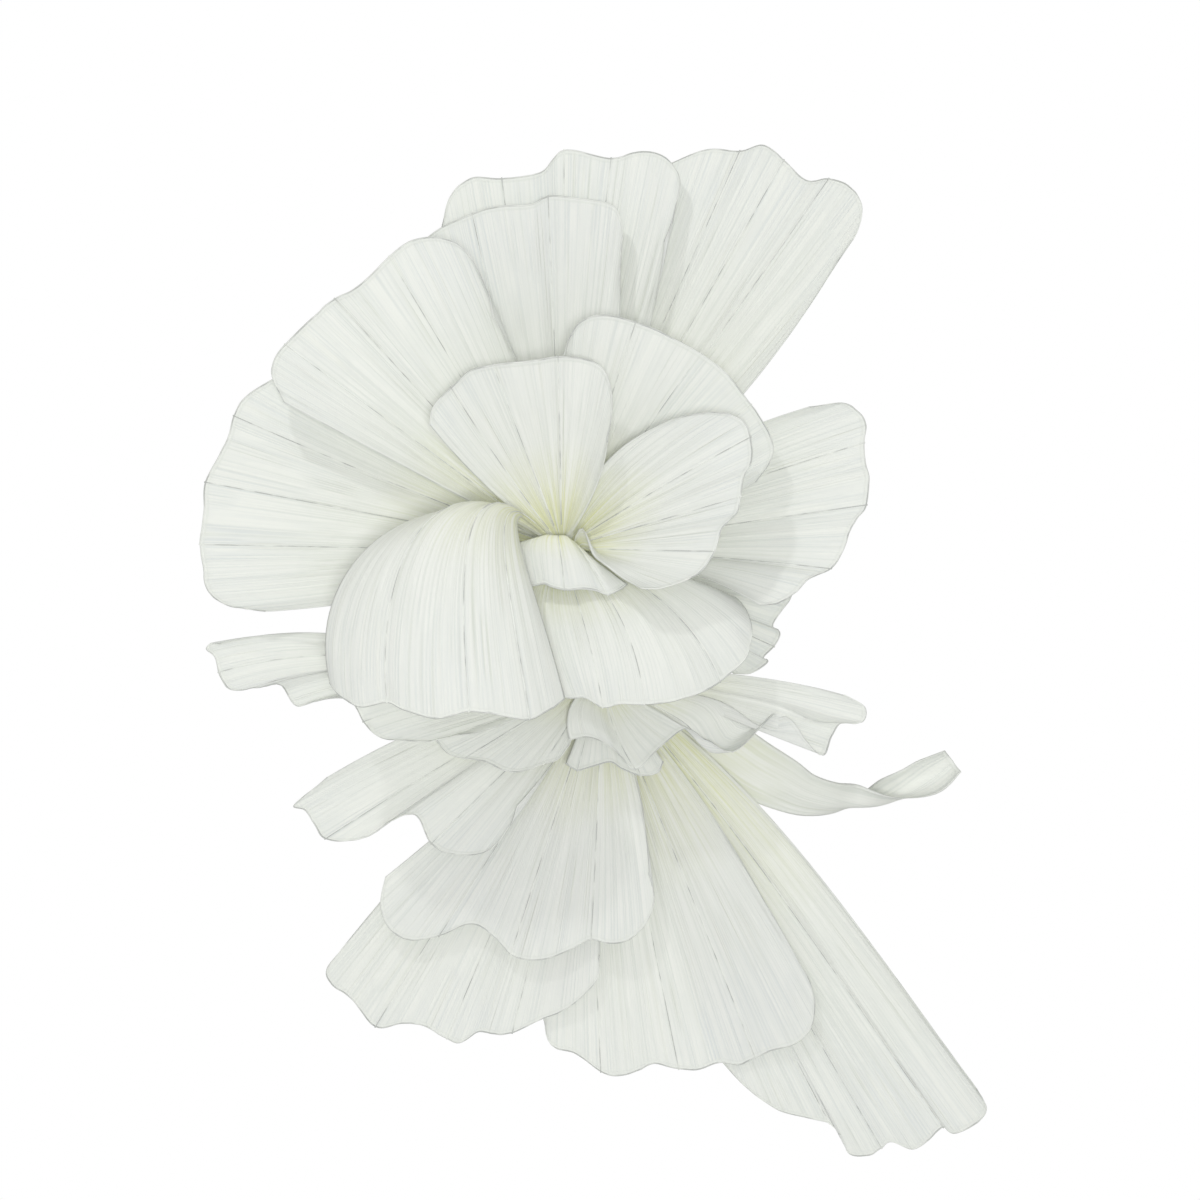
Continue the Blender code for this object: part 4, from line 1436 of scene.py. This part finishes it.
class Grower:
    """A Geometry Nodes tree that is run once on a mesh and leaves a plain mesh."""

    KINDS = {float: "NodeSocketFloat", int: "NodeSocketInt"}

    def __init__(self, name: str, finish: bpy.types.Material, **sizes: float) -> None:
        """Starts the tree.

        Args:
            name: The tree's name.
            finish: Material of what it makes.
            sizes: The named inputs with their values.
        """
        self.tree = bpy.data.node_groups.new(name, "GeometryNodeTree")
        self.finish = finish
        self.sizes = sizes
        self.tree.interface.new_socket("Geometry", in_out="INPUT", socket_type="NodeSocketGeometry")
        self.tree.interface.new_socket("Geometry", in_out="OUTPUT", socket_type="NodeSocketGeometry")
        for label, value in sizes.items():
            self.tree.interface.new_socket(label, in_out="INPUT", socket_type=self.KINDS[type(value)])
        self.inputs = self.tree.nodes.new("NodeGroupInput")

    def node(self, kind: str, settings: dict | None = None, inputs: dict | None = None,
             output: int | str = 0) -> bpy.types.NodeSocket:
        """Adds one node.

        Args:
            kind: The node's type.
            settings: Values set on the node first.
            inputs: Value or link of each input, by name or number.
            output: The output to return.

        Returns:
            That output.
        """
        node = self.tree.nodes.new(kind)
        for key, value in (settings or {}).items():
            setattr(node, key, value)
        for key, value in (inputs or {}).items():
            sockets = value if isinstance(value, list) else [value]
            for socket in sockets:
                if isinstance(socket, bpy.types.NodeSocket):
                    self.tree.links.new(socket, node.inputs[key])
                else:
                    node.inputs[key].default_value = socket
        return node.outputs[output]

    def size(self, label: str) -> bpy.types.NodeSocket:
        """A named input."""
        return self.inputs.outputs[label]

    def end(self, geometry: bpy.types.NodeSocket) -> None:
        """Ends the tree: real meshes with the finish on them.

        Args:
            geometry: What the tree has made.
        """
        real = self.node("GeometryNodeRealizeInstances", inputs={0: geometry})
        rounded = self.node("GeometryNodeSetShadeSmooth", inputs={0: real})
        dressed = self.node("GeometryNodeSetMaterial", inputs={"Geometry": rounded, "Material": self.finish})
        output = self.tree.nodes.new("NodeGroupOutput")
        self.tree.links.new(dressed, output.inputs[0])

    def grow(self, seed: bpy.types.Mesh) -> bpy.types.Mesh:
        """Runs the tree on a mesh, then removes both.

        Args:
            seed: The mesh that the tree starts from.

        Returns:
            The plain mesh that it makes.
        """
        holder = bpy.data.objects.new("seed", seed)
        bpy.context.scene.collection.objects.link(holder)
        modifier = holder.modifiers.new("grow", "NODES")
        modifier.node_group = self.tree
        for item in self.tree.interface.items_tree:
            if item.in_out == "INPUT" and item.name in self.sizes:
                modifier[item.identifier] = self.sizes[item.name]
        evaluated = holder.evaluated_get(bpy.context.evaluated_depsgraph_get())
        grown = bpy.data.meshes.new_from_object(evaluated)
        bpy.data.objects.remove(holder)
        bpy.data.meshes.remove(seed)
        bpy.data.node_groups.remove(self.tree)
        return grown


@dataclass
class WireFrame:
    """Covered wires of one petal: along its ribs and its rim, with a bead at each rib's end.

    stand is the share of its radius by which a wire's middle is in front of the paper. first_row is
    the grid's row at which the ribs' wires start, and rim_row the one that the rim's wire follows.
    """

    sheet: PaperSheet
    finish: bpy.types.Material
    radius: float = 0.00105
    stand: float = 0.40
    sides: int = 8
    bead_radius: float = 0.0019
    bead_rounding: int = 2
    first_row: int = 2
    rim_row: int = -2

    def _lines(self) -> list[tuple[np.ndarray, bool]]:
        """Lines of the wires, in front of the paper by a share of their radius.

        Returns:
            Places along each wire, and whether it ends in a bead.
        """
        places = self.sheet.front(self.radius * self.stand)
        columns = [np.abs(self.sheet.across - share).argmin() for share in self.sheet.shape.rib_shares()]
        ribs = [(places[column, self.first_row:], True) for column in columns]
        return [*ribs, (places[:, self.rim_row], False)]

    def _seed(self) -> bpy.types.Mesh:
        """Mesh of plain edges along the wires, which marks the points that carry a bead.

        Returns:
            The mesh.
        """
        places = []
        edges = []
        beads = []
        for line, beaded in self._lines():
            first = len(places)
            places.extend(line.tolist())
            edges.extend((first + step, first + step + 1) for step in range(len(line) - 1))
            beads.extend([0.0] * (len(line) - 1) + [float(beaded)])
        mesh = bpy.data.meshes.new("wire_lines")
        mesh.from_pydata(places, edges, [])
        mesh.attributes.new(BEAD, "FLOAT", "POINT").data.foreach_set("value", beads)
        return mesh

    def mesh(self) -> bpy.types.Mesh:
        """Round wires and beads.

        Returns:
            The mesh.
        """
        sizes = {"Wire radius": self.radius, "Sides": self.sides, "Bead radius": self.bead_radius}
        grower = Grower("wire_frame", self.finish, **sizes)
        lines = grower.size("Geometry")
        curve = grower.node("GeometryNodeMeshToCurve", inputs={"Mesh": lines})
        ring = grower.node("GeometryNodeCurvePrimitiveCircle", inputs={
            "Resolution": grower.size("Sides"), "Radius": grower.size("Wire radius"),
        })
        wires = grower.node("GeometryNodeCurveToMesh", inputs={
            "Curve": curve, "Profile Curve": ring, "Fill Caps": True,
        })
        is_bead = grower.node("GeometryNodeInputNamedAttribute", {"data_type": "FLOAT"}, {"Name": BEAD})
        ends = grower.node("GeometryNodeMeshToPoints", inputs={"Mesh": lines, "Selection": is_bead})
        ball = grower.node("GeometryNodeMeshIcoSphere", inputs={
            "Radius": grower.size("Bead radius"), "Subdivisions": self.bead_rounding,
        })
        beads = grower.node("GeometryNodeInstanceOnPoints", inputs={"Points": ends, "Instance": ball})
        grower.end(grower.node("GeometryNodeJoinGeometry", inputs={"Geometry": [wires, beads]}))
        return grower.grow(self._seed())


@dataclass
class Petal:
    """One petal: its paper and the wires on it."""

    shape: PetalShape | CurlShape
    number: int
    finishes: Finishes

    def build(self) -> list[bpy.types.Object]:
        """Builds and dresses the petal.

        Returns:
            Its pieces.
        """
        sheet = PaperSheet(self.shape, self.number)
        paper = add_piece(sheet.mesh(), self.shape.name)
        self.finishes.dress(paper, Slot.PAPER)
        if not self.shape.rib_shares():
            return [paper]
        wire_mesh = WireFrame(sheet, self.finishes.of(Slot.WIRE)).mesh()
        wires = add_piece(wire_mesh, self.shape.name.replace("petal_", "wires_"))
        self.finishes.dress(wires, Slot.WIRE)
        return [paper, wires]


def add_piece(mesh: bpy.types.Mesh, node: str) -> bpy.types.Object:
    """Adds the piece that stands for a CAD node.

    Args:
        mesh: Its mesh, in the frame's place.
        node: Name of the node that it replaces.

    Returns:
        The piece.
    """
    mesh.name = node
    piece = bpy.data.objects.new("look_" + node, mesh)
    bpy.context.scene.collection.objects.link(piece)
    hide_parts(node)
    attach(piece, BODY)
    return piece


@dataclass
class TapeWinding:
    """Stem tape wound round a hub between the roots of its front petals.

    band is the tape's width, sheet its thickness and layer how far each turn stands off the last.
    """

    hub: Hub
    finishes: Finishes
    turns: float = 3.0
    band: float = 0.0052
    sheet: float = 0.0003
    layer: float = 0.0004
    steps: int = 48

    def build(self) -> list[bpy.types.Object]:
        """Builds and dresses the winding.

        Returns:
            Its piece.
        """
        node = self.hub.name + "_tape"
        low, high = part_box(node)
        length = high.y - low.y - self.band
        inner = HUB_RADIUS + self.layer
        grower = Grower("tape_winding", self.finishes.of(Slot.TAPE), **{
            "Turns": self.turns, "Inner radius": inner, "Outer radius": inner + self.layer * self.turns,
            "Length": length, "Band width": self.band, "Thickness": self.sheet,
        })
        spiral = grower.node("GeometryNodeCurveSpiral", inputs={
            "Resolution": self.steps, "Rotations": grower.size("Turns"),
            "Start Radius": grower.size("Inner radius"), "End Radius": grower.size("Outer radius"),
            "Height": grower.size("Length"),
        })
        level = grower.node("GeometryNodeSetCurveNormal", {"mode": "Z_UP"}, {"Curve": spiral})
        strip = grower.node("GeometryNodeCurvePrimitiveQuadrilateral", inputs={
            "Width": grower.size("Thickness"), "Height": grower.size("Band width"),
        })
        grower.end(grower.node("GeometryNodeCurveToMesh", inputs={
            "Curve": level, "Profile Curve": strip, "Fill Caps": True,
        }))
        mesh = grower.grow(bpy.data.meshes.new("tape_start"))
        start = Vector((self.hub.x, high.y - self.band / 2, self.hub.z))
        mesh.transform(Matrix.Translation(start) @ Matrix.Rotation(math.radians(90), 4, "X"))
        piece = add_piece(mesh, node)
        self.finishes.dress(piece, Slot.TAPE)
        return [piece]


@dataclass
class Bracket:
    """Wall plate, hubs and strut, which keep their CAD shapes and get a steel finish."""

    finishes: Finishes
    nodes: tuple[str, ...] = ("wall_plate", "hub_strut", "upper_hub", "lower_hub")

    def build(self) -> list[bpy.types.Object]:
        """Dresses the bracket's nodes.

        Returns:
            The nodes.
        """
        nodes = [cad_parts[name] for name in self.nodes]
        for node in nodes:
            for holder in node.material_slots:
                holder.material = self.finishes.of(Slot.STEEL)
        return nodes


@dataclass(frozen=True)
class Lamp:
    """A round soft light."""

    name: str
    place: Vector
    size: float
    power: float


@dataclass(frozen=True)
class Studio:
    """White surroundings, a key light from the upper left, a broad one in front and the camera."""

    camera_place: Vector = Vector((0.05, -3.5, -0.025)).freeze()
    lens: float = 43.5
    surroundings: float = 0.495
    lamps: tuple[Lamp, ...] = (
        Lamp("key", Vector((-1.25, -2.4, 3.0)).freeze(), 0.20, 23.0),
        Lamp("front", Vector((0.35, -5.6, -0.45)).freeze(), 1.6, 138.0),
    )
    lamp_target: Vector = Vector((0.0, 0.0, -0.1)).freeze()
    floor_level: float = -1.75
    floor_half_width: float = 2.2
    floor_back: float = 0.45
    floor_front: float = -1.45
    floor_colour: Colour = (0.86, 0.86, 0.86)

    def build(self) -> None:
        """Sets the studio up."""
        scene = bpy.context.scene
        scene.view_settings.view_transform = "Standard"
        scene.camera = self._camera()
        scene.world = self._surroundings()
        for lamp in self.lamps:
            self._light(lamp)
        self._floor()

    def _camera(self) -> bpy.types.Object:
        """Adds a camera straight in front.

        Returns:
            The camera.
        """
        data = bpy.data.cameras.new("front")
        data.lens = self.lens
        camera = bpy.data.objects.new("front", data)
        camera.location = self.camera_place
        camera.rotation_euler = (math.radians(90), 0.0, 0.0)
        bpy.context.scene.collection.objects.link(camera)
        return camera

    def _surroundings(self) -> bpy.types.World:
        """Even light from all round. The camera, mirror-like and clear surfaces see it as white.

        Returns:
            The world.
        """
        tree = ShaderTree(bpy.data.worlds.new("studio"))
        seen = tree.node("ShaderNodeLightPath", output="Is Camera Ray")
        for label in ("Is Glossy Ray", "Is Transmission Ray"):
            seen = seen.either(tree.node("ShaderNodeLightPath", output=label))
        span = {"Value": seen, "To Min": self.surroundings, "To Max": 1.0}
        strength = tree.node("ShaderNodeMapRange", inputs=span, output="Result")
        white = {"Color": (1.0, 1.0, 1.0, 1.0), "Strength": strength}
        return tree.finish(tree.node("ShaderNodeBackground", inputs=white), "ShaderNodeOutputWorld")

    def _light(self, lamp: Lamp) -> None:
        """Adds a lamp that faces the flower.

        Args:
            lamp: The lamp.
        """
        data = bpy.data.lights.new(lamp.name, "AREA")
        data.shape = "DISK"
        data.size = lamp.size
        data.energy = lamp.power
        light = bpy.data.objects.new(lamp.name, data)
        light.location = lamp.place
        light.rotation_euler = (self.lamp_target - lamp.place).to_track_quat("-Z", "Y").to_euler()
        bpy.context.scene.collection.objects.link(light)

    def _floor(self) -> None:
        """Pale floor under the flower, below the picture."""
        half, back, front, level = self.floor_half_width, self.floor_back, self.floor_front, self.floor_level
        corners = [(-half, front, level), (half, front, level), (half, back, level), (-half, back, level)]
        mesh = bpy.data.meshes.new("floor")
        mesh.from_pydata(corners, [], [(0, 1, 2, 3)])
        tree = ShaderTree(bpy.data.materials.new("pale_floor"))
        face = tree.node("ShaderNodeBsdfDiffuse", inputs={"Color": (*self.floor_colour, 1.0)})
        mesh.materials.append(tree.finish(face))
        floor = bpy.data.objects.new("floor", mesh)
        bpy.context.scene.collection.objects.link(floor)


def main() -> None:
    """Builds the flower's looks and its studio."""
    logging.basicConfig(level=logging.INFO, format="%(message)s")
    finishes = Finishes()
    shapes = (*PETALS, CurlShape())
    petals = [Petal(shape, number, finishes) for number, shape in enumerate(shapes, start=1)]
    windings = [TapeWinding(hub, finishes) for hub in (UPPER, LOWER)]
    for part in (*petals, *windings, Bracket(finishes)):
        for piece in part.build():
            log.info("%s: %d faces", piece.name, len(piece.data.polygons))
    Studio().build()


if __name__ == "__main__":
    main()
